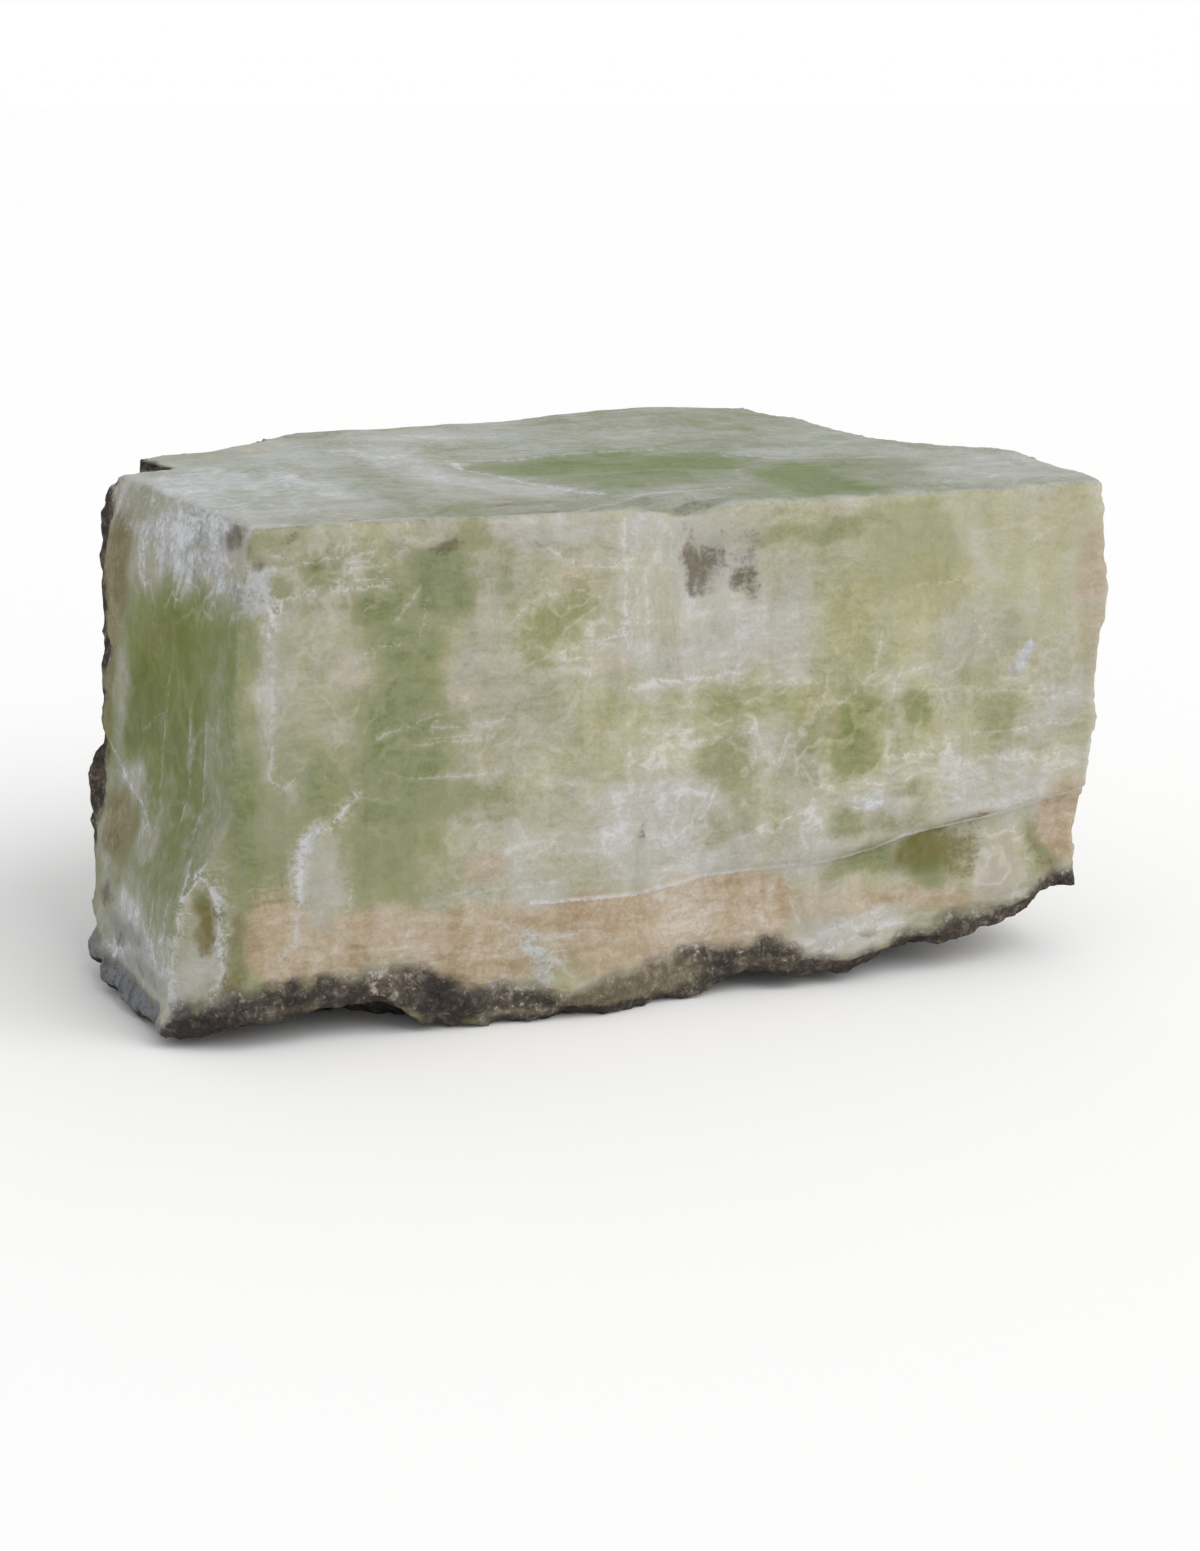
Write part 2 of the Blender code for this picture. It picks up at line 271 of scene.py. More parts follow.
# Clear stone, as (a, b, half width, half height, amount), and then the turn in degrees if any.
FRONT_CLEAR = (
    (0.2, 23.5, 3.8, 10.0, 0.92),
    (6.0, 26.0, 6.0, 4.6, 0.6),
    (-0.2, 40.8, 1.3, 4.0, 0.6),
    (2.0, 46.2, 1.0, 2.4, 0.65),
    (7.0, 47.4, 1.9, 1.8, 0.9),
    (12.6, 20.5, 4.8, 8.0, 0.78),
    (13.6, 29.0, 5.2, 6.4, 0.95),
    (7.0, 25.5, 5.0, 3.4, 0.75, 20),
    (15.2, 37.0, 3.4, 7.4, 0.98),
    (13.6, 43.8, 4.2, 3.2, 0.9),
    (18.2, 45.0, 3.4, 3.8, 1.0, 8),
    (24.5, 45.4, 4.0, 2.4, 0.4),
    (22.0, 49.6, 2.6, 1.6, 0.4),
    (30.5, 41.4, 4.2, 2.2, 0.6, 25),
    (28.8, 38.0, 2.4, 2.0, 0.45),
    (20.8, 24.6, 3.6, 1.6, 0.6),
    (26.0, 22.0, 2.0, 1.2, 0.3),
    (36.6, 32.5, 1.8, 3.4, 0.35),
    (35.0, 27.4, 2.6, 2.6, 0.25),
    (49.1, 25.2, 3.0, 2.8, 0.7),
    (50.6, 21.9, 1.6, 1.6, 0.4),
    (47.6, 18.3, 1.6, 1.4, 0.6),
    (51.0, 18.7, 1.6, 1.3, 0.55),
    (54.5, 31.3, 6.0, 1.7, 0.42),
    (49.0, 31.5, 3.2, 2.6, 0.5),
    (58.0, 27.6, 2.8, 3.6, 0.45),
    (57.5, 23.6, 3.0, 1.8, 0.35),
    (63.6, 27.8, 2.8, 4.2, 0.86),
    (63.4, 24.3, 2.2, 2.2, 0.75),
    (70.7, 29.5, 1.8, 2.0, 0.85),
    (69.2, 20.6, 1.7, 1.0, 0.9),
    (62.3, 16.9, 1.8, 1.6, 0.7),
    (66.2, 16.8, 2.0, 1.4, 0.75),
    (69.8, 17.2, 1.8, 1.1, 0.6),
    (58.5, 48.3, 10.0, 0.9, 0.5),
    (71.0, 46.6, 6.5, 5.0, 0.27),
    (67.0, 39.6, 4.4, 6.5, 0.15),
    (80.5, 28.5, 3.0, 2.6, 0.5),
    (80.5, 24.0, 4.0, 1.6, 0.45),
    (82.0, 36.6, 2.4, 1.8, 0.35),
    (78.0, 33.0, 2.0, 4.0, 0.3),
    (66.2, 12.4, 4.6, 1.2, 0.8),
    (72.5, 12.6, 3.2, 2.4, 1.0),
    (86.0, 12.8, 2.0, 3.4, 0.75),
    (-5.9, 13.5, 1.1, 3.0, 1.2),
)
LEFT_CLEAR = (
    (15.5, 33.0, 10.5, 11.0, 0.7),
    (21.0, 30.5, 4.6, 6.5, 1.05),
    (12.0, 27.0, 8.0, 6.0, 0.6),
    (3.5, 26.0, 5.0, 10.0, 0.12),
    (10.0, 17.5, 9.0, 3.5, 0.3),
)
TOP_CLEAR = (
    (42.0, 25.4, 13.5, 5.2, 0.95),
    (54.0, 24.0, 7.0, 5.0, 1.05, -20),
    (46.0, 16.0, 11.0, 5.5, 0.72),
    (62.5, 9.0, 5.4, 10.0, 1.05),
    (70.5, 14.5, 6.5, 8.0, 0.48),
    (54.0, 6.0, 5.0, 5.0, 0.45),
    (62.0, 43.0, 17.0, 12.0, 0.12),
    (17.5, 18.0, 2.8, 18.0, 0.2),
    (22.0, 3.6, 22.0, 3.6, 0.3),
)

# Milky stone.
FRONT_MILK = (
    (40.2, 45.0, 2.6, 7.0, 0.45),
    (42.0, 50.4, 7.0, 2.0, 0.6),
    (46.0, 41.5, 5.0, 7.5, 0.42),
    (44.0, 34.4, 6.5, 1.0, 0.45),
    (32.0, 36.0, 4.0, 0.8, 0.6),
    (31.5, 50.6, 9.0, 1.2, 0.4),
    (41.0, 27.0, 3.0, 8.0, 0.25),
    (36.0, 19.6, 6.0, 3.4, 0.28),
    (29.0, 16.6, 3.4, 3.8, 0.35),
    (56.8, 37.0, 3.0, 5.0, 0.3),
    (51.0, 14.8, 8.5, 1.9, 0.3),
    (58.0, 17.6, 2.4, 3.0, 0.35),
    (64.2, 20.4, 3.4, 1.7, 0.6),
    (72.0, 35.0, 3.0, 3.0, 0.25),
    (73.6, 26.0, 2.6, 3.4, 0.4),
    (77.0, 20.0, 10.5, 3.8, 0.4, 4),
    (87.4, 28.0, 4.4, 1.5, 0.55, 45),
    (76.4, 47.4, 1.3, 4.6, 0.55, 30),
    (81.0, 11.4, 2.4, 3.6, 0.6),
    (64.5, 9.6, 4.4, 1.3, 0.4),
    (62.5, 5.6, 5.5, 2.0, 0.7, 8),
    (5.4, 18.6, 2.0, 3.0, 0.22, -24),
    (5.6, 13.6, 2.0, 3.6, 0.25),
    (6.6, 38.0, 4.2, 6.0, 0.22),
    (1.6, 33.0, 1.6, 12.0, 0.3),
    (8.5, 31.0, 2.6, 3.0, 0.2),
    (12.0, 50.6, 6.0, 1.0, 0.3),
    (-6.6, 7.7, 1.8, 2.6, 0.6),
    (-10.0, 6.0, 2.4, 5.0, 0.4),
)
LEFT_MILK = (
    (27.5, 29.0, 1.8, 7.0, 0.5),
    (24.0, 21.8, 3.6, 1.8, 0.6, -16),
    (16.0, 17.4, 2.8, 2.0, 0.55),
    (9.0, 29.0, 0.8, 3.0, 0.4),
    (4.6, 28.5, 0.7, 3.2, 0.3),
    (3.5, 30.0, 3.4, 14.0, 0.16),
    (19.0, 10.4, 8.0, 1.3, 0.75, -6),
    (10.0, 5.4, 8.0, 1.3, 0.5, -8),
    (26.0, 12.0, 3.4, 2.0, 0.4),
)
TOP_MILK = (
    (27.0, 18.0, 2.8, 11.0, 0.6, 28),
    (25.0, 36.0, 4.5, 14.0, 0.4),
    (68.0, 27.4, 6.0, 2.0, 0.4),
    (85.0, 12.0, 7.0, 12.0, 0.4),
    (70.0, 0.2, 24.0, 0.6, 0.5),
    (8.0, 0.2, 12.0, 0.5, 0.5),
    (38.0, 48.0, 9.0, 5.0, 0.3),
)

# Where the milk is a cold grey rather than cream.
FRONT_GREY = (
    (41.0, 44.0, 5.0, 9.0, 0.7),
    (46.5, 44.0, 5.5, 8.0, 0.9),
    (30.0, 50.6, 10.0, 1.8, 0.6),
    (36.0, 19.0, 9.0, 5.5, 0.8),
    (29.0, 15.5, 3.8, 5.0, 1.0),
    (5.4, 17.0, 2.8, 5.4, 1.0),
    (1.5, 32.0, 2.3, 14.0, 1.0),
    (6.0, 36.0, 5.0, 7.0, 0.5),
    (22.0, 40.0, 5.0, 8.0, 0.35),
    (77.0, 19.5, 12.0, 5.0, 0.85, 4),
    (87.0, 28.0, 5.0, 3.0, 0.8, 45),
    (76.4, 47.4, 2.2, 5.0, 0.7, 30),
    (80.7, 11.2, 2.4, 4.0, 0.6),
    (52.0, 15.0, 10.0, 2.8, 0.6),
    (62.5, 5.6, 6.5, 2.4, 1.0),
    (-6.6, 7.7, 2.2, 3.2, 1.0),
    (-10.0, 6.0, 3.0, 6.0, 1.0),
    (20.0, 13.5, 8.0, 1.6, 0.4),
    (56.5, 38.0, 3.4, 5.4, 0.5),
    (73.0, 34.0, 4.0, 4.0, 0.5),
)
LEFT_GREY = ((13.0, 48.8, 13.0, 4.0, 1.0), (14.0, 6.5, 15.0, 4.0, 1.0))
TOP_GREY = ((28.0, 30.0, 8.0, 28.0, 0.6), (84.0, 14.0, 9.0, 16.0, 0.7))

# Where the clear stone is yellower.
FRONT_YELLOW = (
    (63.5, 27.0, 4.0, 5.6, 1.0),
    (71.0, 46.6, 8.0, 6.0, 0.9),
    (67.0, 39.0, 6.0, 8.0, 0.8),
    (70.7, 26.0, 3.0, 8.0, 0.8),
    (54.5, 31.3, 7.0, 2.4, 0.7),
    (30.5, 40.6, 5.0, 4.0, 0.6),
    (36.0, 30.5, 3.4, 6.0, 0.5),
    (84.0, 44.0, 9.0, 7.0, 0.5),
    (79.0, 28.0, 8.0, 6.0, 0.4),
)
LEFT_YELLOW = ((15.0, 38.0, 9.0, 6.0, 0.7),)
TOP_YELLOW = ((58.0, 44.0, 14.0, 8.0, 0.4),)

# Where the stone is calm, with little grain.
FRONT_CALM = (
    (71.0, 45.6, 6.5, 6.0, 0.4),
    (8.0, 30.0, 13.0, 20.0, 0.25),
    (84.0, 44.0, 8.0, 8.0, 0.25),
)
LEFT_CALM = ((14.0, 33.0, 12.0, 12.0, 0.2),)
TOP_CALM = ((2.0, 20.0, 16.0, 24.0, 0.2),)

# Deep olive and brown stone.
FRONT_OLIVE = (
    (72.2, 13.2, 3.0, 2.1, 1.05, 8),
    (76.8, 12.6, 2.6, 2.2, 1.0),
    (75.0, 13.4, 5.8, 2.7, 0.75, 8),
    (86.2, 12.0, 1.5, 3.0, 0.5),
    (-3.2, 10.0, 0.9, 4.6, 0.9),
    (-6.0, 13.2, 1.2, 2.7, 1.0),
)
LEFT_OLIVE = ((21.5, 16.5, 1.8, 2.8, 0.5),)

# Cool frosting of powdered crystal.
FRONT_FROST = (
    (0.4, 46.0, 1.1, 2.8, 1.0, -20),
    (-1.6, 49.2, 1.4, 2.4, 1.0),
    (1.4, 37.0, 1.2, 7.0, 0.3),
    (4.6, 21.0, 0.8, 2.6, 0.6, -34),
    (-10.0, 4.6, 2.4, 3.0, 0.5),
    (27.6, 6.6, 1.0, 3.2, 0.7, 18),
    (24.5, 5.0, 1.3, 1.2, 0.5),
    (31.6, 8.6, 1.0, 0.8, 0.5),
    (61.5, 5.9, 4.4, 1.3, 0.45, 6),
    (83.4, 34.2, 0.7, 2.1, 1.0, -32),
    (64.4, 19.8, 1.8, 1.3, 0.5),
    (41.5, 50.8, 4.0, 0.9, 0.4),
)
LEFT_FROST = (
    (9.0, 50.6, 8.0, 2.0, 1.0),
    (12.0, 47.6, 6.0, 2.6, 0.85),
    (5.5, 47.0, 3.0, 1.6, 0.75, 35),
    (1.6, 45.4, 1.8, 1.0, 0.8, 25),
    (18.0, 49.0, 5.0, 2.8, 0.6),
    (25.0, 50.0, 5.0, 2.6, 0.45),
    (22.0, 46.6, 0.6, 3.2, 0.5),
    (14.0, 6.5, 13.0, 3.2, 0.75, -6),
    (3.0, 8.0, 4.0, 4.0, 0.45),
)
TOP_FROST = (
    (-3.0, 9.0, 2.6, 9.5, 1.0),
    (-2.5, 22.0, 4.0, 8.0, 0.8),
    (4.0, 24.0, 9.0, 11.0, 0.5),
    (2.0, 12.0, 3.0, 4.0, 0.5),
    (24.0, 40.0, 7.0, 13.0, 0.35),
    (86.0, 10.0, 7.0, 10.0, 0.3),
)

# Iron stain.
FRONT_TAN = (
    (1.0, 11.5, 3.6, 4.4, 0.95),
    (9.0, 10.2, 8.0, 3.0, 0.8),
    (20.0, 9.8, 8.0, 2.8, 0.95),
    (22.5, 16.0, 2.6, 1.8, 0.5),
    (22.0, 6.6, 8.0, 2.2, 0.75),
    (5.0, 7.8, 7.0, 1.6, 0.7),
    (28.5, 10.2, 5.0, 1.8, 0.8),
    (36.0, 9.6, 7.0, 3.0, 0.95),
    (46.0, 9.8, 9.0, 3.4, 1.0),
    (53.0, 9.6, 5.0, 2.8, 0.9),
    (42.0, 6.4, 16.0, 2.2, 0.7),
    (61.5, 9.0, 6.0, 1.6, 0.45),
    (62.0, 5.6, 5.0, 2.0, 0.35, 8),
    (71.0, 8.2, 9.0, 1.5, 0.7),
    (89.6, 15.0, 3.2, 5.0, 0.95),
    (81.0, 11.0, 2.8, 3.6, 0.5),
    (91.6, 43.0, 2.8, 5.0, 0.6),
    (91.4, 34.0, 2.2, 6.0, 0.45),
    (88.0, 47.6, 4.0, 2.6, 0.3),
    (23.0, 29.0, 3.0, 2.0, 0.3),
    (20.5, 33.5, 2.6, 1.6, 0.3),
    (34.0, 44.6, 3.6, 3.2, 0.3),
    (36.0, 36.8, 2.8, 1.4, 0.4),
    (26.5, 35.0, 3.2, 2.2, 0.28),
    (9.5, 38.5, 2.6, 3.4, 0.28),
)
LEFT_TAN = (
    (28.8, 43.5, 3.0, 7.5, 0.8, 6),
    (30.8, 32.0, 1.8, 8.0, 0.6),
    (26.2, 17.2, 4.2, 3.4, 0.9),
    (21.0, 16.6, 2.2, 2.8, 0.5),
    (19.0, 38.0, 2.6, 2.2, 0.25),
)
TOP_TAN = (
    (3.0, 40.5, 5.5, 3.6, 0.32),
    (11.0, 45.6, 4.5, 2.4, 0.36, 40),
    (9.0, 3.0, 9.0, 3.0, 0.25),
    (24.0, 6.0, 6.0, 4.0, 0.2),
    (29.0, 53.0, 4.0, 2.0, 0.25),
)

# Parts of the front whose fibres stand upright.
FRONT_UPRIGHT = (
    (43.0, 43.0, 5.6, 8.0, 1.0),
    (0.0, 35.0, 2.4, 14.0, 1.0),
    (71.0, 42.0, 5.0, 7.0, 0.7),
    (12.0, 22.0, 8.0, 9.0, 0.6),
)

# Parts with a net of white veils.
FRONT_NET = (
    (56.0, 25.0, 16.0, 9.0, 0.9),
    (31.0, 40.0, 6.0, 5.0, 0.8),
    (9.0, 47.0, 9.0, 4.0, 0.7),
    (10.0, 32.0, 8.0, 12.0, 0.5),
    (78.0, 28.0, 12.0, 8.0, 0.6),
    (28.0, 24.0, 12.0, 12.0, 0.5),
    (27.0, 6.0, 5.0, 4.0, 0.8),
    (82.0, 11.5, 5.0, 4.0, 1.0),
)
LEFT_NET = ((12.0, 28.0, 14.0, 14.0, 0.5), (12.0, 46.0, 12.0, 6.0, 0.9))
TOP_NET = ((2.0, 16.0, 14.0, 18.0, 0.5),)

# Dark spots and bruises. A few are painted shadow: a thin line under a small step of the front, lines along
# the top's front edge, and patches at the near top corner.
FRONT_MARKS = (
    (46.3, 46.2, 1.7, 2.9, 0.9),
    (45.9, 43.6, 1.6, 0.8, 0.8),
    (50.4, 43.8, 1.4, 1.2, 0.95),
    (51.2, 42.6, 0.5, 0.9, 0.7),
    (49.3, 45.8, 1.4, 0.9, 0.4),
    (47.6, 49.6, 2.8, 1.4, 0.4),
    (48.6, 46.4, 4.4, 3.4, 0.28),
    # A painted shadow: a thin line under a small step.
    (51.4, 48.8, 2.4, 0.4, 0.4, -28),
    (19.2, 48.7, 2.6, 0.9, 0.55),
    # A painted shadow at the near top corner.
    (-0.8, 50.5, 1.1, 1.0, 0.95, -20),
    (0.3, 49.2, 0.7, 1.3, 0.6),
    (39.5, 17.0, 0.4, 2.6, 0.35),
    (3.2, 51.3, 2.8, 0.3, 0.35, -6),
)
LEFT_MARKS = (
    # A painted shadow at the near top corner.
    (2.4, 50.6, 2.2, 1.2, 0.85, -12),
    (18.0, 7.4, 8.0, 1.4, 0.5, -6),
    (9.0, 5.6, 8.0, 1.5, 0.5, -8),
    (25.0, 9.6, 4.0, 1.2, 0.45, -10),
)
TOP_MARKS = (
    # Painted shadow along the front edge.
    (45.5, 1.4, 4.6, 1.0, 0.4),
    (40.5, 4.0, 2.6, 1.4, 0.35, 40),
    # Painted shadow along the front edge.
    (22.0, 0.6, 14.0, 0.5, 0.45),
    (30.0, 4.5, 8.0, 0.7, 0.25),
)

# The patches of each marking on the front, the left and the top.
PAINTED = {
    "clear": (FRONT_CLEAR, LEFT_CLEAR, TOP_CLEAR),
    "milk": (FRONT_MILK, LEFT_MILK, TOP_MILK),
    "grey": (FRONT_GREY, LEFT_GREY, TOP_GREY),
    "yellow": (FRONT_YELLOW, LEFT_YELLOW, TOP_YELLOW),
    "calm": (FRONT_CALM, LEFT_CALM, TOP_CALM),
    "olive": (FRONT_OLIVE, LEFT_OLIVE, ()),
    "frost": (FRONT_FROST, LEFT_FROST, TOP_FROST),
    "tan": (FRONT_TAN, LEFT_TAN, TOP_TAN),
    "net": (FRONT_NET, LEFT_NET, TOP_NET),
    "marks": (FRONT_MARKS, LEFT_MARKS, TOP_MARKS),
}

# White veins and cleavage edges, as (half width, amount, points of the line).
FRONT_LINES = (
    (0.3, 0.49, ((3.0, 45.1), (8.0, 45.4), (13.0, 45.8))),
    (0.22, 0.42, ((2.0, 49.2), (5.0, 48.4), (8.0, 48.6), (11.0, 49.0))),
    (0.2, 0.35, ((9.8, 51.8), (9.6, 49.5), (8.9, 46.6))),
    (0.2, 0.28, ((10.0, 47.4), (13.0, 47.8), (15.2, 49.0), (15.4, 51.6))),
    (0.42, 1.1, ((-1.6, 47.8), (-0.4, 45.8), (1.2, 44.8), (1.7, 43.6), (1.4, 41.6))),
    (0.26, 0.35, ((1.2, 41.0), (1.6, 37.0), (1.3, 33.0), (1.0, 28.0))),
    (0.24, 0.42, ((10.9, 39.0), (11.8, 40.1), (13.2, 39.8))),
    (0.26, 0.42, ((14.6, 42.8), (15.9, 44.4))),
    (0.24, 0.35, ((17.0, 43.0), (16.2, 40.0))),
    (0.24, 0.42, ((12.8, 31.0), (15.0, 31.6), (17.3, 32.2))),
    (0.2, 0.32, ((18.0, 31.2), (24.0, 31.3))),
    (0.22, 0.28, ((1.6, 27.0), (2.6, 26.3), (3.5, 27.4))),
    (0.42, 0.9, ((1.9, 9.8), (3.1, 10.8), (3.2, 14.0), (3.4, 18.0), (4.3, 21.2), (6.4, 22.0), (8.9, 24.4))),
    (0.2, 0.28, ((7.2, 10.8), (8.4, 13.0), (8.7, 15.0))),
    (0.2, 0.35, ((16.0, 26.2), (20.0, 26.0), (24.0, 26.2))),
    (0.2, 0.28, ((17.0, 29.6), (20.0, 29.5), (23.0, 29.7))),
    (0.2, 0.28, ((19.0, 14.1), (24.0, 13.9), (30.0, 14.2))),
    (0.24, 0.35, ((30.0, 48.2), (33.0, 46.4), (37.5, 46.0))),
    (0.2, 0.35, ((26.0, 41.0), (28.6, 43.4), (32.0, 44.2), (35.0, 43.2))),
    (0.2, 0.28, ((31.0, 37.6), (34.0, 38.6), (37.4, 39.1))),
    (0.2, 0.42, ((37.9, 50.2), (38.0, 45.0), (37.8, 39.2))),
    (0.2, 0.28, ((40.0, 44.6), (40.2, 41.0), (40.0, 38.6))),
    (0.3, 0.42, ((38.6, 33.8), (42.0, 34.0), (50.0, 34.4))),
    (0.2, 0.35, ((46.0, 27.7), (49.0, 27.9), (52.0, 27.8))),
    (0.22, 0.35, ((42.2, 17.0), (44.4, 17.8), (46.0, 19.4), (47.2, 21.6))),
    (0.2, 0.28, ((50.0, 32.8), (54.0, 33.0), (58.0, 32.6))),
    (0.24, 0.35, ((61.0, 30.0), (64.0, 31.9), (65.6, 33.6), (66.2, 36.4))),
    (0.2, 0.28, ((71.0, 42.2), (75.0, 42.4), (77.0, 41.8))),
    (0.24, 0.42, ((68.4, 24.3), (71.5, 24.1), (74.0, 24.2))),
    (0.16, 0.35, ((77.0, 26.0), (82.0, 25.9), (88.0, 26.3))),
    (0.16, 0.28, ((74.0, 30.4), (80.0, 30.2), (86.0, 30.1))),
    (0.16, 0.28, ((74.0, 23.0), (80.0, 23.3), (85.0, 22.8))),
    (0.2, 0.24, ((81.0, 45.2), (83.4, 46.0), (85.4, 46.9))),
    (0.2, 0.24, ((77.2, 38.0), (78.6, 36.4), (79.4, 34.8))),
    (0.2, 0.35, ((56.0, 13.0), (56.2, 10.0), (57.0, 7.6))),
    (0.24, 0.9, ((24.4, 10.2), (26.0, 7.6), (29.6, 6.4))),
    (0.22, 0.8, ((26.4, 9.6), (28.6, 8.5), (31.6, 8.9))),
    (0.24, 0.8, ((27.0, 3.8), (28.8, 5.6), (28.4, 8.6))),
    (0.24, 0.49, ((58.0, 5.0), (62.0, 6.6), (66.0, 7.4))),
    (0.24, 0.49, ((59.0, 4.0), (63.0, 5.2), (68.0, 5.8))),
    (
        0.34,
        1.7,
        ((-8.6, 13.4), (-8.1, 15.1), (-7.3, 17.0), (-6.6, 17.7), (-5.5, 17.4), (-4.6, 15.8), (-4.4, 11.0)),
    ),
    (0.26, 1.4, ((-3.9, 11.6), (-4.3, 10.0), (-4.4, 7.9), (-5.2, 5.2))),
    (0.3, 1.4, ((-8.4, 14.0), (-8.9, 10.0), (-9.5, 5.0))),
)
LEFT_LINES = (
    (0.24, 0.5, ((23.2, 49.6), (22.2, 46.6), (21.2, 43.6))),
    (0.22, 0.5, ((13.6, 43.4), (12.8, 45.6), (11.4, 47.6))),
    (0.2, 0.35, ((20.0, 28.6), (17.6, 30.0), (15.4, 31.6))),
    (0.2, 0.4, ((9.4, 31.6), (8.8, 28.0), (9.0, 22.0))),
    (0.2, 0.4, ((5.6, 31.6), (5.4, 27.0), (5.0, 20.0))),
    (0.2, 0.4, ((16.0, 24.0), (15.6, 28.0), (15.2, 34.0))),
    (0.3, 0.5, ((29.0, 24.0), (25.0, 21.6), (20.0, 20.6), (17.0, 19.0))),
    (0.3, 0.9, ((1.6, 15.2), (2.0, 16.6), (2.7, 17.7), (1.4, 17.8))),
    (0.24, 0.6, ((4.0, 14.0), (4.4, 9.0), (5.2, 4.0))),
    (0.24, 0.5, ((8.6, 12.0), (9.8, 8.0), (10.4, 4.0))),
)
TOP_LINES = (
    (0.5, 0.6, ((28.8, 30.6), (28.6, 26.6), (30.6, 22.0), (32.6, 16.6), (34.8, 12.0), (37.6, 8.6))),
    (0.3, 0.4, ((29.0, 30.8), (36.0, 30.2), (45.0, 31.4), (54.0, 32.4))),
    (0.3, 0.5, ((60.4, 25.8), (65.0, 23.0), (70.0, 22.0), (76.0, 21.4))),
    (0.26, 0.4, ((34.0, 0.8), (42.0, 6.0), (52.0, 8.0))),
)

# Top of the dark crust along the front, as (x, z).
CRUST_LINE = (
    (-12.0, 2.6),
    (-9.0, 4.2),
    (-5.0, 5.2),
    (-2.3, 6.2),
    (4.0, 6.7),
    (10.5, 7.0),
    (16.0, 6.6),
    (17.5, 5.0),
    (25.0, 3.8),
    (30.0, 3.1),
    (38.0, 4.4),
    (46.3, 5.7),
    (55.0, 5.2),
    (58.0, 3.4),
    (62.0, 3.1),
    (68.0, 4.7),
    (73.5, 5.8),
    (80.0, 6.9),
    (83.0, 7.4),
    (85.0, 9.2),
    (90.0, 10.2),
)

# Brown glaze on the crust of the front.
FRONT_GLAZE = (
    (37.5, 2.6, 7.6, 2.0, 1.0, 6),
    (24.0, 0.8, 8.0, 0.9, 0.8),
    (52.0, 3.0, 4.0, 1.6, 0.4),
    (3.0, 4.0, 8.0, 0.8, 0.4),
)

# Lip of the ledge along the front, where its painted highlight runs, as (x, z).
LEDGE_LINE = (
    (17.0, 12.4),
    (30.0, 12.0),
    (39.0, 11.9),
    (46.0, 13.0),
    (60.5, 13.0),
    (66.0, 13.9),
    (69.2, 15.1),
    (80.0, 16.2),
    (92.1, 18.6),
)


def smooth(value):
    """Eases values from 0 to 1."""
    value = np.clip(value, 0.0, 1.0)
    return value * value * (3.0 - 2.0 * value)


def along(line, places):
    """Heights of a line of (place, height) points at places."""
    return np.interp(places, [point[0] for point in line], [point[1] for point in line])


def noise_at(points, size, seed, octaves=3):
    """Fractal noise of about -1 to 1 with lumps of a size: one length, or one for each axis."""
    places = points / np.array(size) + seed * 17.31
    return np.array([noise.fractal(Vector(place), 1.0, 2.0, octaves) for place in places])


def wobble(points, size, seed, octaves=3):
    """A noise for each axis."""
    return np.stack([noise_at(points, size, seed + axis, octaves) for axis in range(3)], axis=1)


def patches(a, b, table):
    """How strongly each place lies in a table of soft patches."""
    found = np.zeros(len(a))
    for at_a, at_b, half_a, half_b, amount, *turns in table:
        turn = math.radians(turns[0] if turns else 0)
        cosine, sine = math.cos(turn), math.sin(turn)
        u = ((a - at_a) * cosine + (b - at_b) * sine) / half_a
        v = ((b - at_b) * cosine - (a - at_a) * sine) / half_b
        reach = (np.abs(u) ** SQUARENESS + np.abs(v) ** SQUARENESS) ** (1 / SQUARENESS)
        found = np.maximum(found, amount * smooth(1.5 - reach))
    return found


def drawn_lines(a, b, table):
    """For each place, which side of the nearest drawn line it is on, in half widths, and how
    strong the line is there."""
    nearest = np.full(len(a), FAR)
    side = np.full(len(a), FAR)
    strength = np.zeros(len(a))
    for half_width, amount, points in table:
        for (a0, b0), (a1, b1) in zip(points, points[1:]):
            run_a, run_b = a1 - a0, b1 - b0
            length = math.hypot(run_a, run_b)
            share = np.clip(((a - a0) * run_a + (b - b0) * run_b) / length**2, 0.0, 1.0)
            distance = np.hypot(a - a0 - share * run_a, b - b0 - share * run_b)
            signed = ((a - a0) * run_b - (b - b0) * run_a) / length
            closer = distance < nearest
            nearest = np.where(closer, distance, nearest)
            side = np.where(closer, np.clip(signed / half_width, -FAR, FAR), side)
            strength = np.where(closer, amount * smooth((1.6 - distance) / 0.8), strength)
    return side, strength


def link_neighbours(mesh):
    """Vertex numbers at the two ends of every edge."""
    ends = np.empty(len(mesh.edges) * 2, np.int32)
    mesh.edges.foreach_get("vertices", ends)
    return ends.reshape(-1, 2)


def even_out(values, ends, rounds):
    """Averages each vertex's values with its neighbours', over and over."""
    count = len(values)
    degree = np.bincount(ends.ravel(), minlength=count)[:, None]
    for _ in range(rounds):
        total = np.stack(
            [
                np.bincount(ends[:, 0], values[ends[:, 1], axis], count)
                + np.bincount(ends[:, 1], values[ends[:, 0], axis], count)
                for axis in range(values.shape[1])
            ],
            axis=1,
        )
        values = (values + total / degree) / 2
    return values


def read_vectors(mesh, name):
    values = np.empty(len(mesh.vertices) * 3)
    mesh.vertices.foreach_get(name, values)
    return values.reshape(-1, 3)


def fine_copy(node):
    """A copy of a CAD node with an even, fine mesh."""
    copy = bpy.data.objects.new("calcite_stone", node.data.copy())
    bpy.context.scene.collection.objects.link(copy)
    remesh = copy.modifiers.new("fine", "REMESH")
    remesh.mode = "VOXEL"
    remesh.voxel_size = VOXEL
    graph = bpy.context.evaluated_depsgraph_get()
    fine = bpy.data.meshes.new_from_object(copy.evaluated_get(graph))
    copy.modifiers.clear()
    copy.data = fine
    return copy


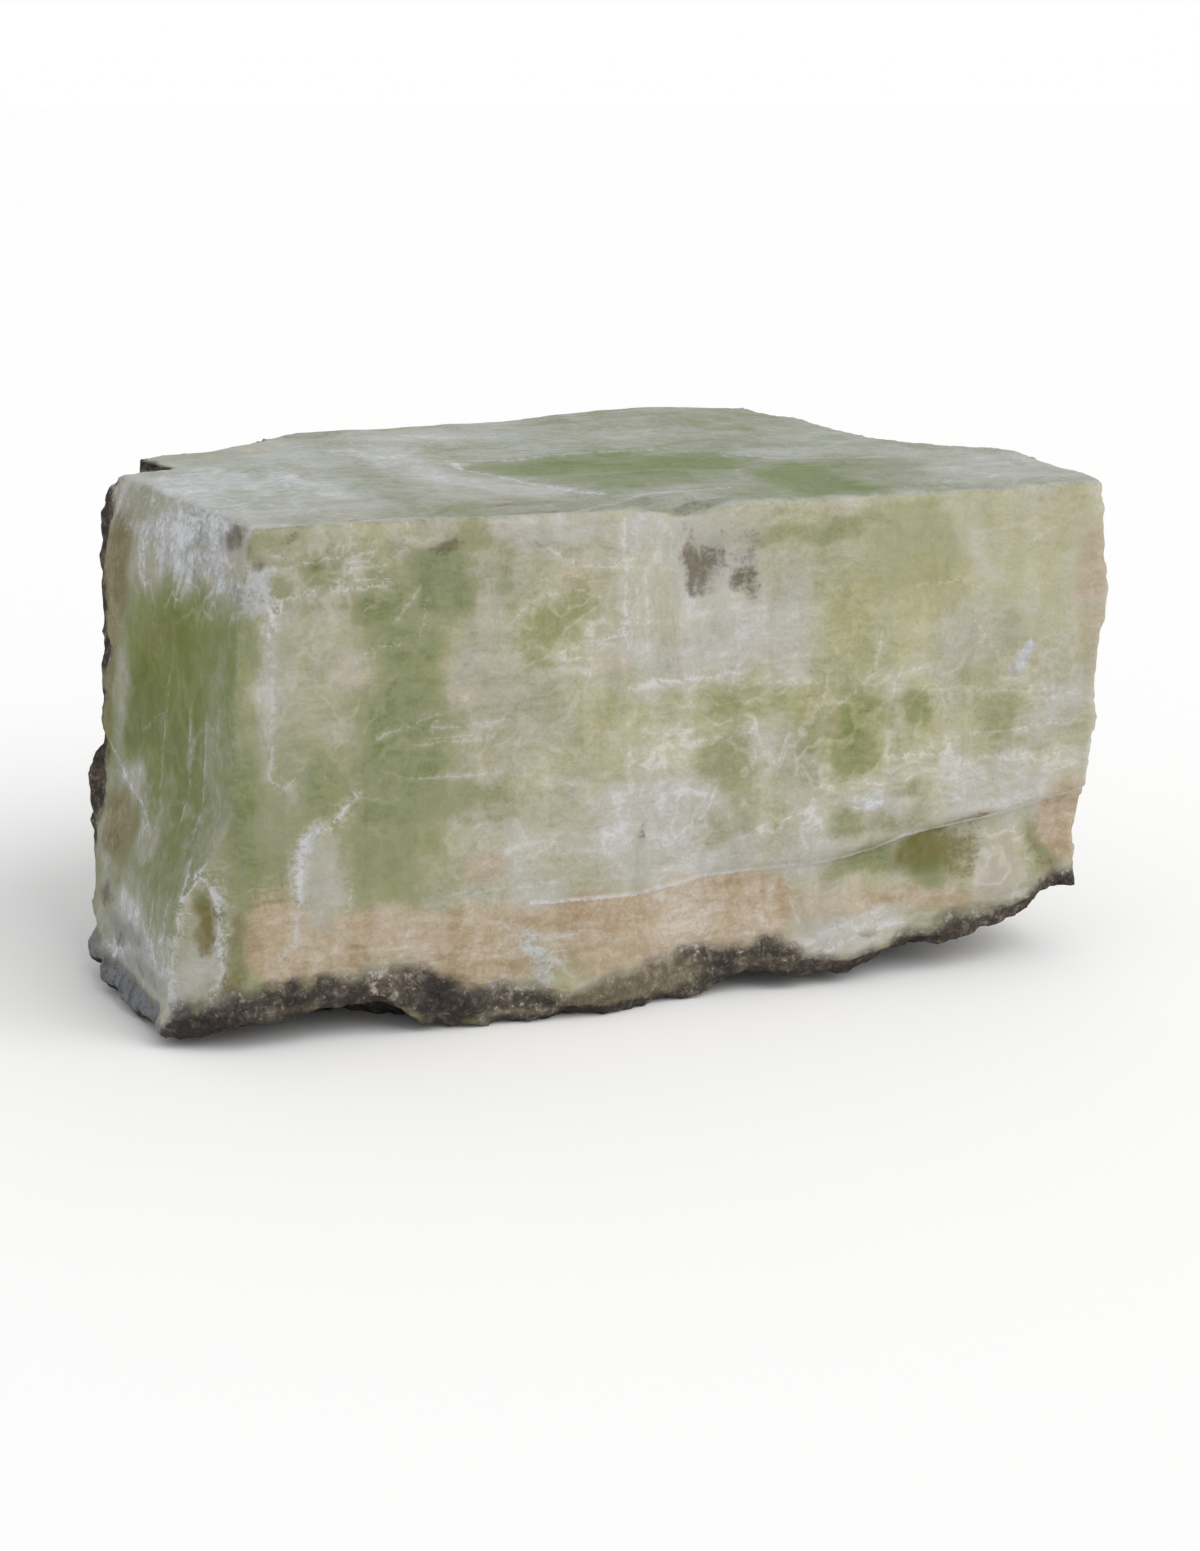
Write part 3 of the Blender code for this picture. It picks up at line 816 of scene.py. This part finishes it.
class Sides:
    """How much each vertex belongs to each side of the stone, from 0 to 1."""

    def __init__(self, normals, points):
        x, y, z = normals.T
        self.top = smooth((z - 0.55) / 0.25)
        self.under = smooth((-z - 0.35) / 0.3) * smooth(UNDER_TOP - points[:, 2])
        upright = (1 - self.top) * (1 - self.under)
        self.front = upright * smooth((-y - np.maximum(-x, 0.0) * 0.9 - 0.1) / 0.15)
        self.left = upright * (1 - self.front) * smooth((-x - 0.35) / 0.3)
        self.left *= smooth(LEFT_END - points[:, 1])
        self.right = upright * smooth((x - 0.45) / 0.3)
        self.back = upright * (1 - self.front) * (1 - self.left) * (1 - self.right)
        self.rear = np.clip(1 - self.front - self.left - self.top, 0.0, 1.0)

    def paint(self, points, lists):
        """The patches of the front, the left and the top in one array."""
        x, y, z = points.T
        front_list, left_list, top_list = lists
        return (
            self.front * patches(x, z, front_list)
            + self.left * patches(y, z, left_list)
            + self.top * patches(x, y, top_list)
        )


def crust_share(points, sides):
    """Where the dark crust covers the stone: below a line on the front and left, on the underside,
    in most of the back, and down the rear left edge. It fades in over a few millimetres."""
    x, y, z = points.T
    ragged = noise_at(points, 3.0, 11, 4)
    front_line = along(CRUST_LINE, x) + 0.9 * ragged
    left_line = LEFT_CRUST + LEFT_CRUST_RISE * np.maximum(y, 0.0) + 0.9 * ragged
    front = sides.front * smooth((front_line - z) / 2.4 + 0.5)
    left = sides.left * smooth((left_line - z) / 2.2 + 0.5)
    rear_edge = sides.left * smooth((y - REAR_EDGE - 1.4 * ragged) / 1.8)
    back_cover = noise_at(points, (16.0, 16.0, 9.0), 12, 6)
    lower = smooth((BACK_CRUST - z + 6.0 * back_cover) / 5.0)
    wrapped = smooth((BACK_WRAP - x + 3.0 * ragged) / 4.0)
    back = sides.back * np.maximum(np.maximum(lower, wrapped), smooth((back_cover + 0.56) / 0.6))
    right = sides.right * smooth((RIGHT_CRUST - z + 4.0 * back_cover) / 2.0)
    under = sides.under * smooth((noise_at(points, 9.0, 13, 4) + 0.75) / 0.3)
    return np.clip(front + left + rear_edge + back + right + under, 0.0, 1.0)


def cleavage(points, sides):
    """Relief of the cleavage: fine ridges that run along X on the front and top and upright on the
    left, the chipped band under the top's front edge, and the terraces of the front."""
    x, _, z = points.T
    lying = noise_at(points, (26.0, 1.6, 1.3), 3, 3)
    upright = noise_at(points, (1.6, 1.6, 24.0), 4, 3)
    ridges = LYING_RIDGES * (sides.front + sides.top) * lying + UPRIGHT_RIDGES * sides.left * upright

    band_foot = BAND_FOOT + 0.7 * noise_at(points, (3.0, 3.0, 1.5), 5, 3)
    band = smooth((z - band_foot) / 0.4) * smooth((36.0 - x) / 6.0) * smooth((x - 1.0) / 2.0)
    steps = BAND_RISE * band
    ragged = 0.5 * noise_at(points, (6.0, 6.0, 40.0), 6, 3)
    for height, start, end, step in TERRACES:
        span = smooth((x - start) / 2.0) * smooth((end - x) / 2.0)
        below = smooth((height + ragged - z) / 0.25) * smooth((z - height + 3.4) / 3.0)
        steps += step * span * below
    return ridges, sides.front * steps


def weather(points, normals, sides, crust, ends):
    """Relief in millimetres along the normals, and how worn each vertex is as an edge."""
    x, y, z = points.T
    proud = np.einsum("ij,ij->i", points - even_out(points, ends, EDGE_REACH), normals)
    edge = smooth((proud - 0.12) / 0.5)
    chips = np.maximum(noise_at(points, 3.2, 1, 4), 0.0)
    fine_chips = np.maximum(noise_at(points, 1.1, 2, 3), 0.0)
    relief = -edge * (EDGE_WEAR + EDGE_CHIPS * chips + FINE_CHIPS * fine_chips)

    clean = 1 - smooth(crust)
    ridges, steps = cleavage(points, sides)
    relief += clean * ridges + steps

    # The first bruises of the front are pits, and the top's first clear patches a sunk window.
    relief -= sides.front * PIT_DEPTH * patches(x, z, FRONT_MARKS[:4])
    window = patches(x, y, TOP_CLEAR[:2])
    relief -= sides.top * WINDOW_DEPTH * smooth((window - 0.35) / 0.3)
    relief += sides.top * TOP_SWELL * noise_at(points, (14.0, 6.0, 6.0), 7, 4)

    # Rough skin of the crust, the underside and the back.
    grit = noise_at(points, 1.7, 8, 4)
    lumps = noise_at(points, 4.6, 9, 3)
    shown = sides.front + sides.left
    full = smooth((crust - 0.35) / 0.65)
    skin = (CRUST_GRIT - SHOWN_LESS_GRIT * shown) * grit
    skin += (CRUST_LUMPS - SHOWN_LESS_LUMPS * shown) * lumps - CRUST_SINK
    relief += full * skin
    rear_skin = REAR_GRIT * grit + REAR_LUMPS * lumps - REAR_SINK * sides.back
    relief += clean * (sides.back + sides.right) * rear_skin
    return relief, edge


def markings(points, sides, crust):
    """The stone's markings at each point, by name."""
    x, _, z = points.T
    drawn = points + 1.1 * wobble(points, (9.0, 9.0, 7.0), 21) + 0.8 * wobble(points, 3.2, 24)
    painted = {name: sides.paint(drawn, lists) for name, lists in PAINTED.items()}
    clear = np.clip(painted["clear"], 0.0, 1.0)
    rear_drift = noise_at(points, (15.0, 15.0, 11.0), 31, 4)
    drift = noise_at(points, (12.0, 9.0, 9.0), 33, 3)
    plain = (
        sides.front * along(FRONT_MILKINESS, drawn[:, 0])
        + sides.left * (along(LEFT_MILKINESS, drawn[:, 2]) + 0.2 * drift)
        + sides.top * (along(TOP_MILKINESS, drawn[:, 0]) + 0.2 * drift)
        + sides.rear * (REAR_MILKINESS + 0.4 * rear_drift)
    )
    milky = plain * (1 - 0.85 * clear)
    milky += (1 - milky) * 0.75 * painted.pop("milk")
    calm = 0.2 * clear + 0.2 * sides.left - 0.3 * sides.top * (1 - clear) + painted["calm"]

    jitter = points + 0.35 * wobble(points, 2.0, 27)
    side = np.full(len(points), FAR)
    strength = np.zeros(len(points))
    for share, a, b, table in (
        (sides.front, jitter[:, 0], jitter[:, 2], FRONT_LINES),
        (sides.left, jitter[:, 1], jitter[:, 2], LEFT_LINES),
        (sides.top, jitter[:, 0], jitter[:, 1], TOP_LINES),
    ):
        face_side, face_strength = drawn_lines(a, b, table)
        side = np.where(share > 0.5, face_side, side)
        strength = np.where(share > 0.5, face_strength, strength)
    return {
        **painted,
        "milky": milky,
        "clear": clear,
        "calm": calm,
        "crust": crust,
        "glaze": sides.front * patches(x, z, FRONT_GLAZE),
        "upright": 0.3 * sides.left + 0.3 * sides.back + sides.front * patches(x, z, FRONT_UPRIGHT),
        # Height above the ledge's lip, for its painted highlight.
        "lip": np.where((sides.front > 0.5) & (x > LIP_START), z - along(LEDGE_LINE, x), FAR),
        "line_side": side,
        "line_strength": strength,
        "face_left": sides.left,
        "face_top": sides.top,
        "rough": sides.rear,
    }


def store(mesh, name, values):
    layer = mesh.attributes.new(name, "FLOAT", "POINT")
    layer.data.foreach_set("value", np.ascontiguousarray(values, np.float32))


def dress_stone(node, low, high):
    """The weathered stone with its markings stored on its vertices."""
    stone = fine_copy(node)
    mesh = stone.data
    ends = link_neighbours(mesh)
    points = read_vectors(mesh, "co") / MM - NEAR_CORNER
    normals = read_vectors(mesh, "normal")
    facing = even_out(normals, ends, 3)
    facing /= np.linalg.norm(facing, axis=1)[:, None]
    sides = Sides(facing, points)
    crust = crust_share(points, sides)
    relief, edge = weather(points, normals, sides, crust, ends)
    moved = points + normals * relief[:, None]
    placed = np.clip((moved + NEAR_CORNER) * MM, np.array(low), np.array(high))
    mesh.vertices.foreach_set("co", placed.ravel())
    mesh.update()
    for name, values in markings(points, sides, crust).items():
        store(mesh, name, values)
    store(mesh, "edge", edge)
    for polygon in mesh.polygons:
        polygon.use_smooth = True
    return stone


class Nodes:
    """Short ways to add and join shader nodes."""

    def __init__(self, material):
        material.use_nodes = True
        self.tree = material.node_tree
        self.shader = self.tree.nodes["Principled BSDF"]

    def join(self, source, socket):
        if isinstance(source, bpy.types.NodeSocket):
            self.tree.links.new(source, socket)
        else:
            socket.default_value = source

    def add(self, kind, inputs, **settings):
        """A node with its settings, and with a value or a link for some of its inputs."""
        node = self.tree.nodes.new(kind)
        for name, value in settings.items():
            setattr(node, name, value)
        for socket, value in inputs.items():
            self.join(value, node.inputs[socket])
        return node

    def maths(self, operation, first, second=0.0, clamp=False):
        inputs = {0: first, 1: second}
        return self.add("ShaderNodeMath", inputs, operation=operation, use_clamp=clamp).outputs[0]

    def times(self, first, *others):
        for other in others:
            first = self.maths("MULTIPLY", first, other)
        return first

    def plus(self, first, *others):
        for other in others:
            first = self.maths("ADD", first, other)
        return first

    def without(self, value):
        """One less a value."""
        return self.maths("SUBTRACT", 1.0, value)

    def centred(self, value, amount):
        """A noise of 0 to 1, moved to be about 0 and times an amount."""
        return self.times(self.plus(value, -0.5), amount)

    def attribute(self, name):
        return self.add("ShaderNodeAttribute", {}, attribute_name=name).outputs["Fac"]

    def ramp(self, value, low, high, bottom=0.0, top=1.0):
        """Eases a value between low and high to a number between bottom and top."""
        inputs = dict(enumerate((value, low, high, bottom, top)))
        return self.add("ShaderNodeMapRange", inputs, interpolation_type="SMOOTHSTEP").outputs[0]

    def colours(self, value, stops):
        """A colour for a value, from rows of a value and the channels that are seen."""
        node = self.add("ShaderNodeValToRGB", {0: value})
        elements = node.color_ramp.elements
        while len(elements) < len(stops):
            elements.new(1.0)
        for element, (position, *channels) in zip(elements, stops):
            element.position = position
            element.color = seen_as(*channels)
        return node.outputs["Color"]

    def mix(self, share, first, second, way="MIX"):
        inputs = {0: share, 6: first, 7: second}
        return self.add("ShaderNodeMix", inputs, data_type="RGBA", blend_type=way).outputs[2]

    def blend(self, share, first, second):
        """Mixes two numbers."""
        inputs = {0: share, 2: first, 3: second}
        return self.add("ShaderNodeMix", inputs, data_type="FLOAT").outputs[0]

    def stretch(self, place, scale, move=(0.0, 0.0, 0.0)):
        inputs = {"Vector": place, "Scale": scale, "Location": move}
        return self.add("ShaderNodeMapping", inputs).outputs[0]

    def noise_node(self, place, scale, detail, rough, **settings):
        inputs = {"Vector": place, "Scale": scale, "Detail": detail, "Roughness": rough}
        return self.add("ShaderNodeTexNoise", inputs, **settings)

    def noise(self, place, scale, detail, rough, warp=0.0):
        node = self.noise_node(place, scale, detail, rough)
        self.join(warp, node.inputs["Distortion"])
        return node.outputs["Fac"]

    def layers(self, place, scale):
        """Flat layers of stone that end rather sharply."""
        return self.ramp(self.noise(self.stretch(place, scale), 1.0, 2.0, 0.5), 0.42, 0.58)

    def ridges(self, place, scale, detail, rough):
        """A noise whose high values run along thin winding lines."""
        node = self.noise_node(place, scale, detail, rough, noise_type="RIDGED_MULTIFRACTAL")
        self.join(0.9, node.inputs["Offset"])
        self.join(1.0, node.inputs["Gain"])
        return node.outputs["Fac"]

    def vectors(self, operation, *values):
        inputs = dict(enumerate(values))
        return self.add("ShaderNodeVectorMath", inputs, operation=operation).outputs[0]

    def swirled(self, place, scale, reach):
        """Places moved about by a noise."""
        cloud = self.noise_node(place, scale, 3.0, 0.5).outputs["Color"]
        middle = self.vectors("SUBTRACT", cloud, (0.5, 0.5, 0.5))
        return self.vectors("MULTIPLY_ADD", middle, (reach, reach, reach), place)

    def scaled(self, colour, factor):
        """A colour times a number."""
        inputs = {0: colour, "Scale": factor}
        return self.add("ShaderNodeVectorMath", inputs, operation="SCALE").outputs[0]

    def lit(self, colour, on_top, on_left):
        """The base colour of stone that is seen as a colour in the soft light of its side."""
        light, gloss = (
            self.blend(on_left, self.blend(on_top, front, top), left)
            for front, top, left in zip(FRONT_LIGHT, TOP_LIGHT, LEFT_LIGHT)
        )
        unglossed = self.vectors("SUBTRACT", colour, gloss)
        base = self.scaled(unglossed, self.maths("DIVIDE", 1.0, light))
        return self.vectors("MAXIMUM", base, LEAST_COLOUR)

    def glints(self, place, scale, radius, share):
        """Small dots, in a share of the cells of a pattern."""
        node = self.add("ShaderNodeTexVoronoi", {"Vector": place, "Scale": scale})
        dots = self.ramp(node.outputs["Distance"], radius, radius * 0.4)
        chance = self.add("ShaderNodeSeparateColor", {0: node.outputs["Color"]}).outputs[0]
        return self.times(dots, self.ramp(chance, 1.0 - share, 1.02 - share))


class Calcite(Nodes):
    """The stone's nodes, with the places, sides and grain that its parts share."""

    def __init__(self, material):
        super().__init__(material)
        place = self.add("ShaderNodeTexCoord", {}).outputs["Object"]
        self.millimetres = self.stretch(place, (1 / MM, 1 / MM, 1 / MM))
        self.crust = self.attribute("crust")
        self.on_top = self.attribute("face_top")
        self.on_left = self.attribute("face_left")
        self.rear = self.attribute("rough")
        self.shade = self.blend(self.on_left, 1.0, LEFT_SHADE)
        self.swirls = self.swirled(self.millimetres, 0.16, 14.0)
        self.feather = self.noise(self.stretch(self.swirls, (0.8, 1.0, 1.0)), 0.12, 7.0, 0.8)
        self.mottle = self.noise(self.swirls, 0.5, 6.0, 0.7)
        self.speck = self.noise(self.millimetres, 2.6, 3.0, 0.65)
        self.crumb = self.noise(self.millimetres, 0.9, 7.0, 0.72)
        nudged = self.swirled(self.millimetres, 0.4, 2.4)
        lying, standing = (
            self.noise(self.stretch(nudged, scale), 1.2, 5.0, 0.7)
            for scale in ((0.16, 1.0, 1.0), (1.0, 1.0, 0.16))
        )
        self.fibre = self.blend(self.attribute("upright"), lying, standing)
        streaks = self.plus(
            self.centred(self.fibre, FIBRE),
            self.centred(self.layers(nudged, (0.04, 0.4, 0.4)), BANDS),
            self.centred(self.layers(nudged, (0.36, 0.04, 0.04)), POSTS),
        )
        together = self.plus(
            self.centred(self.feather, FEATHER),
            self.centred(self.mottle, MOTTLE),
            self.centred(self.speck, SPECK),
            self.times(streaks, self.blend(self.on_top, 1.0, TOP_STREAKS)),
        )
        self.grain = self.times(together, self.without(self.attribute("calm")))

    def broken(self, name, low, high, amount):
        """Eases a marking between low and high, with its edge broken up by the grain."""
        value = self.attribute(name)
        present = self.maths("MULTIPLY", value, 4.0, clamp=True)
        return self.ramp(self.plus(value, self.times(present, self.times(self.grain, amount))), low, high)


def veins(n):
    """How strongly each place lies on a drawn vein."""
    side = n.plus(n.attribute("line_side"), n.centred(n.speck, 3.0), n.centred(n.fibre, 2.0))
    off_line = n.maths("ABSOLUTE", side)
    core = n.plus(n.ramp(off_line, 1.1, 0.1, 0.0, 0.7), n.ramp(off_line, 4.0, 0.5, 0.0, 0.3))
    gaps = n.ramp(n.plus(n.mottle, n.centred(n.speck, 0.5)), 0.4, 0.58, 0.1, 1.0)
    return n.times(core, n.attribute("line_strength"), gaps)


def milkiness(n, vein):
    """How milky the stone is, with its grain, a net of white veils, the veins, and painted glints as small
    white dots.
    """
    wavy = n.stretch(n.swirled(n.millimetres, 0.1, 24.0), (0.7, 1.0, 1.0))
    net = n.attribute("net")
    web = n.times(n.ramp(n.ridges(wavy, 0.2, 5.0, 0.7), 0.75, 1.35), net, WEB)
    # Painted glints of broken crystal in the net.
    glints = n.times(n.glints(n.millimetres, 0.7, 0.15, 0.05), net, GLINTS)
    return n.plus(n.attribute("milky"), n.grain, web, n.times(vein, VEIN), glints)


def stone_colour(n, milky):
    """The stone's colour by how milky it is, tinted grey or yellow in places."""
    colour = n.mix(n.on_top, n.colours(milky, FRONT_STONE), n.colours(milky, TOP_STONE))
    colour = n.mix(n.on_left, colour, n.colours(milky, LEFT_STONE))
    colour = n.mix(n.rear, colour, n.colours(milky, REAR_STONE))
    hue = n.noise(n.stretch(n.millimetres, (1.0, 1.0, 1.0), (5.0, 9.0, 2.0)), 0.11, 4.0, 0.6, 0.6)
    grey = n.plus(n.attribute("grey"), n.ramp(hue, 0.46, 0.6, 0.0, 0.45))
    elsewhere = n.plus(n.times(n.on_left, 0.45), n.times(n.rear, 0.8), n.times(n.on_top, 0.65))
    grey = n.times(grey, n.without(elsewhere), n.ramp(milky, 0.22, 0.55, 0.25, 1.0))
    grey_milk = n.scaled(n.colours(milky, GREY_MILK), n.shade)
    colour = n.mix(n.maths("MINIMUM", grey, 0.95), colour, grey_milk)
    yellow = n.plus(n.attribute("yellow"), n.ramp(hue, 0.48, 0.36, 0.0, 0.4))
    yellow = n.times(yellow, n.without(n.times(n.on_top, 0.7)))
    return n.mix(n.maths("MINIMUM", yellow, 1.0), colour, YELLOWED, "MULTIPLY")


def stained(n, colour):
    """Adds deep olive and iron stain."""
    mood = n.plus(0.5, n.times(n.grain, 1.3))
    deep = n.times(n.broken("olive", 0.05, 1.0, 3.4), n.ramp(n.mottle, 0.4, 0.62, 0.92, 0.6))
    colour = n.mix(deep, colour, n.mix(n.ramp(mood, 0.44, 0.74), OLIVE, BROWN_OLIVE))
    streaky = n.plus(0.5, n.times(n.grain, 1.9))
    stain = n.mix(n.on_left, n.colours(streaky, STAINED), n.colours(streaky, STAINED_LEFT))
    return n.mix(n.times(n.broken("tan", 0.1, 0.8, 1.1), 0.95), colour, stain)


def whitened(n, colour, frosting, vein):
    """Adds frosting, white veins, bruises and painted shadow, a painted highlight on the lip of the ledge,
    and powdery edges.
    """
    powder = n.plus(0.54, n.times(n.grain, n.blend(n.on_left, 1.8, 3.8)))
    colour = n.mix(n.times(frosting, 0.92), colour, n.scaled(n.colours(powder, FROSTED), n.shade))
    white = n.scaled(WHITE[:3], n.shade)
    colour = n.mix(n.maths("MINIMUM", n.times(vein, 0.65), 0.85), colour, white)
    # Dark bruises, and painted shadow under a step, along the top's front edge and at the near corner.
    bruise_and_shade = n.times(n.broken("marks", 0.05, 1.15, 3.0), 0.95)
    colour = n.mix(bruise_and_shade, colour, BRUISE_AND_SHADE, "MULTIPLY")
    # A painted highlight along the lip of the ledge.
    lip = n.plus(n.attribute("lip"), n.centred(n.speck, 0.5))
    lit = n.times(n.ramp(lip, 0.0, 0.12), n.ramp(lip, 0.7, 0.25))
    colour = n.mix(n.times(lit, n.ramp(n.mottle, 0.4, 0.55, 0.35, 0.85)), colour, LIP_HIGHLIGHT)
    powdery = n.ramp(n.plus(n.speck, n.centred(n.mottle, 1.0)), 0.42, 0.6)
    return n.mix(n.times(n.attribute("edge"), powdery, 0.45), colour, white)


def crust_colour(n):
    """Dark crumbs with pale specks, partly white bits and partly painted glints, brown patches, and a cold
    tint low on the left.
    """
    fleck = n.noise(n.stretch(n.millimetres, (1.0, 1.0, 1.0), (9.0, 4.0, 2.0)), 1.5, 5.0, 0.78)
    # Pale specks, partly white bits of the crust and partly painted glints.
    flecks_and_glints = n.times(n.ramp(fleck, 0.54, 0.72, 0.0, 0.6), n.without(n.times(n.rear, 0.55)))
    broad = n.centred(n.noise(n.swirls, 0.14, 3.0, 0.55), 1.3)
    thin = n.ramp(n.crust, 1.0, 0.45, 0.0, 0.3)
    dirt = n.plus(0.38, n.centred(n.crumb, 2.2), flecks_and_glints, broad, thin)
    skin = n.mix(n.broken("glaze", 0.2, 0.8, 1.0), n.colours(dirt, CRUST), n.colours(dirt, GLAZE))
    height = n.add("ShaderNodeSeparateXYZ", {0: n.millimetres}).outputs[2]
    cold = n.times(n.on_left, n.ramp(height, 12.0, 6.0), n.ramp(n.crumb, 0.4, 0.54, 0.4, 0.95))
    return n.mix(cold, skin, COLD_CRUST)


def crust_cover(n):
    """How much the crust hides the stone, with a ragged edge."""
    ragged = n.plus(n.centred(n.crumb, 2.6), n.times(n.grain, 0.6))
    near_crust = n.maths("MULTIPLY", n.crust, 4.0, clamp=True)
    return n.ramp(n.plus(n.crust, n.times(ragged, near_crust)), 0.2, 0.85)


def roughness(n, frosting, cover):
    """Clear windows are smoother, and frosting and crust are dull."""
    rough = n.blend(frosting, n.blend(n.attribute("clear"), 0.62, 0.5), 0.76)
    hazy = n.times(n.plus(n.on_top, n.on_left), 0.14)
    return n.blend(cover, n.plus(rough, n.centred(n.speck, 0.3), hazy), 0.84)


def fine_relief(n, cover):
    """The bump of the stone's grain and of the crust's crumbs."""
    height = n.plus(n.times(n.fibre, 0.5), n.times(n.speck, 0.25), n.times(n.feather, 0.8))
    rough = n.maths("MAXIMUM", cover, n.times(n.rear, 0.6))
    height = n.blend(rough, height, n.times(n.crumb, 1.8))
    inputs = {"Strength": BUMP_STRENGTH, "Distance": BUMP_HEIGHT, "Height": height}
    return n.add("ShaderNodeBump", inputs).outputs[0]


def stone_material():
    material = bpy.data.materials.new("green_calcite")
    n = Calcite(material)
    vein = veins(n)
    frosting = n.broken("frost", 0.15, 0.9, 1.6)
    cover = crust_cover(n)
    colour = stained(n, stone_colour(n, milkiness(n, vein)))
    colour = whitened(n, colour, frosting, vein)
    # The stone darkens towards the crust.
    colour = n.mix(n.ramp(n.crust, 0.0, 0.45, 0.0, 0.5), colour, BRUISE_AND_SHADE, "MULTIPLY")
    colour = n.mix(cover, colour, crust_colour(n))
    bare = n.without(cover)
    base = n.lit(colour, n.times(n.on_top, bare), n.times(n.on_left, bare))
    n.join(base, n.shader.inputs["Base Color"])
    n.join(roughness(n, frosting, cover), n.shader.inputs["Roughness"])
    n.join(fine_relief(n, cover), n.shader.inputs["Normal"])
    for name, value in SHADER:
        n.shader.inputs[name].default_value = value
    return material


def add_floor():
    mesh = bpy.data.meshes.new("floor")
    signs = ((-1, -1), (1, -1), (1, 1), (-1, 1))
    places = [(x * FLOOR_REACH, y * FLOOR_REACH, 0.0) for x, y in signs]
    mesh.from_pydata(places, [], [(0, 1, 2, 3)])
    floor = bpy.data.objects.new("floor", mesh)
    bpy.context.scene.collection.objects.link(floor)
    material = bpy.data.materials.new("pale_floor")
    material.use_nodes = True
    shader = material.node_tree.nodes["Principled BSDF"]
    shader.inputs["Base Color"].default_value = FLOOR_COLOUR
    shader.inputs["Roughness"].default_value = 0.9
    shader.inputs["Specular IOR Level"].default_value = 0.2
    mesh.materials.append(material)


def add_lights():
    light = bpy.data.lights.new("key", "SUN")
    light.energy = KEY_POWER
    light.angle = KEY_ANGLE
    key = bpy.data.objects.new("key", light)
    key.rotation_mode = "QUATERNION"
    key.rotation_quaternion = (-KEY_FROM).to_track_quat("-Z", "Y")
    bpy.context.scene.collection.objects.link(key)
    world = bpy.data.worlds.new("studio")
    world.use_nodes = True
    tree = world.node_tree
    background = tree.nodes["Background"]
    direction = tree.nodes.new("ShaderNodeSeparateXYZ")
    tree.links.new(tree.nodes.new("ShaderNodeTexCoord").outputs["Generated"], direction.inputs[0])
    shares = []
    for axis, (low, high), bottom, top in (
        ("Z", SKY_FADE, HORIZON_LIGHT, ZENITH_LIGHT),
        ("X", SHADE_FADE, SHADED_SIDE, 1.0),
    ):
        fade = tree.nodes.new("ShaderNodeMapRange")
        tree.links.new(direction.outputs[axis], fade.inputs["Value"])
        for value, socket in zip((low, high, bottom, top), fade.inputs[1:]):
            socket.default_value = value
        shares.append(fade.outputs["Result"])
    strength = tree.nodes.new("ShaderNodeMath")
    strength.operation = "MULTIPLY"
    for share, socket in zip(shares, strength.inputs):
        tree.links.new(share, socket)
    tree.links.new(strength.outputs[0], background.inputs["Strength"])
    background.inputs["Color"].default_value = (1.0, 1.0, 1.0, 1.0)
    bpy.context.scene.world = world


def add_camera():
    data = bpy.data.cameras.new("camera")
    data.sensor_width = SENSOR_MM
    data.lens = FOCAL_PX * SENSOR_MM / PHOTO_HEIGHT_PX
    data.clip_start = 0.01
    data.clip_end = 100.0
    camera = bpy.data.objects.new("camera", data)
    camera.location = (CAMERA_PLACE + Vector(NEAR_CORNER)) * MM
    camera.rotation_mode = "QUATERNION"
    camera.rotation_quaternion = CAMERA_AIM.to_track_quat("-Z", "Y")
    bpy.context.scene.collection.objects.link(camera)
    bpy.context.scene.camera = camera


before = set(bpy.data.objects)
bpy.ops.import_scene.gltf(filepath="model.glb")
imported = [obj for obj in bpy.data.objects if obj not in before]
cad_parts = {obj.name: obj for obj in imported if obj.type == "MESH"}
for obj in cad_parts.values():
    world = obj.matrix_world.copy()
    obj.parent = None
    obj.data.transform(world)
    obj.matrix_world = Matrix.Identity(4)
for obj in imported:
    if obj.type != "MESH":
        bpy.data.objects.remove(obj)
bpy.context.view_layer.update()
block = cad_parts["calcite_block"]
stone = dress_stone(block, *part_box("calcite_block"))
stone.data.materials.clear()
stone.data.materials.append(stone_material())
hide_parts("calcite_block")
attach(stone, "root")
add_floor()
add_lights()
add_camera()
bpy.context.scene.view_settings.view_transform = "Standard"
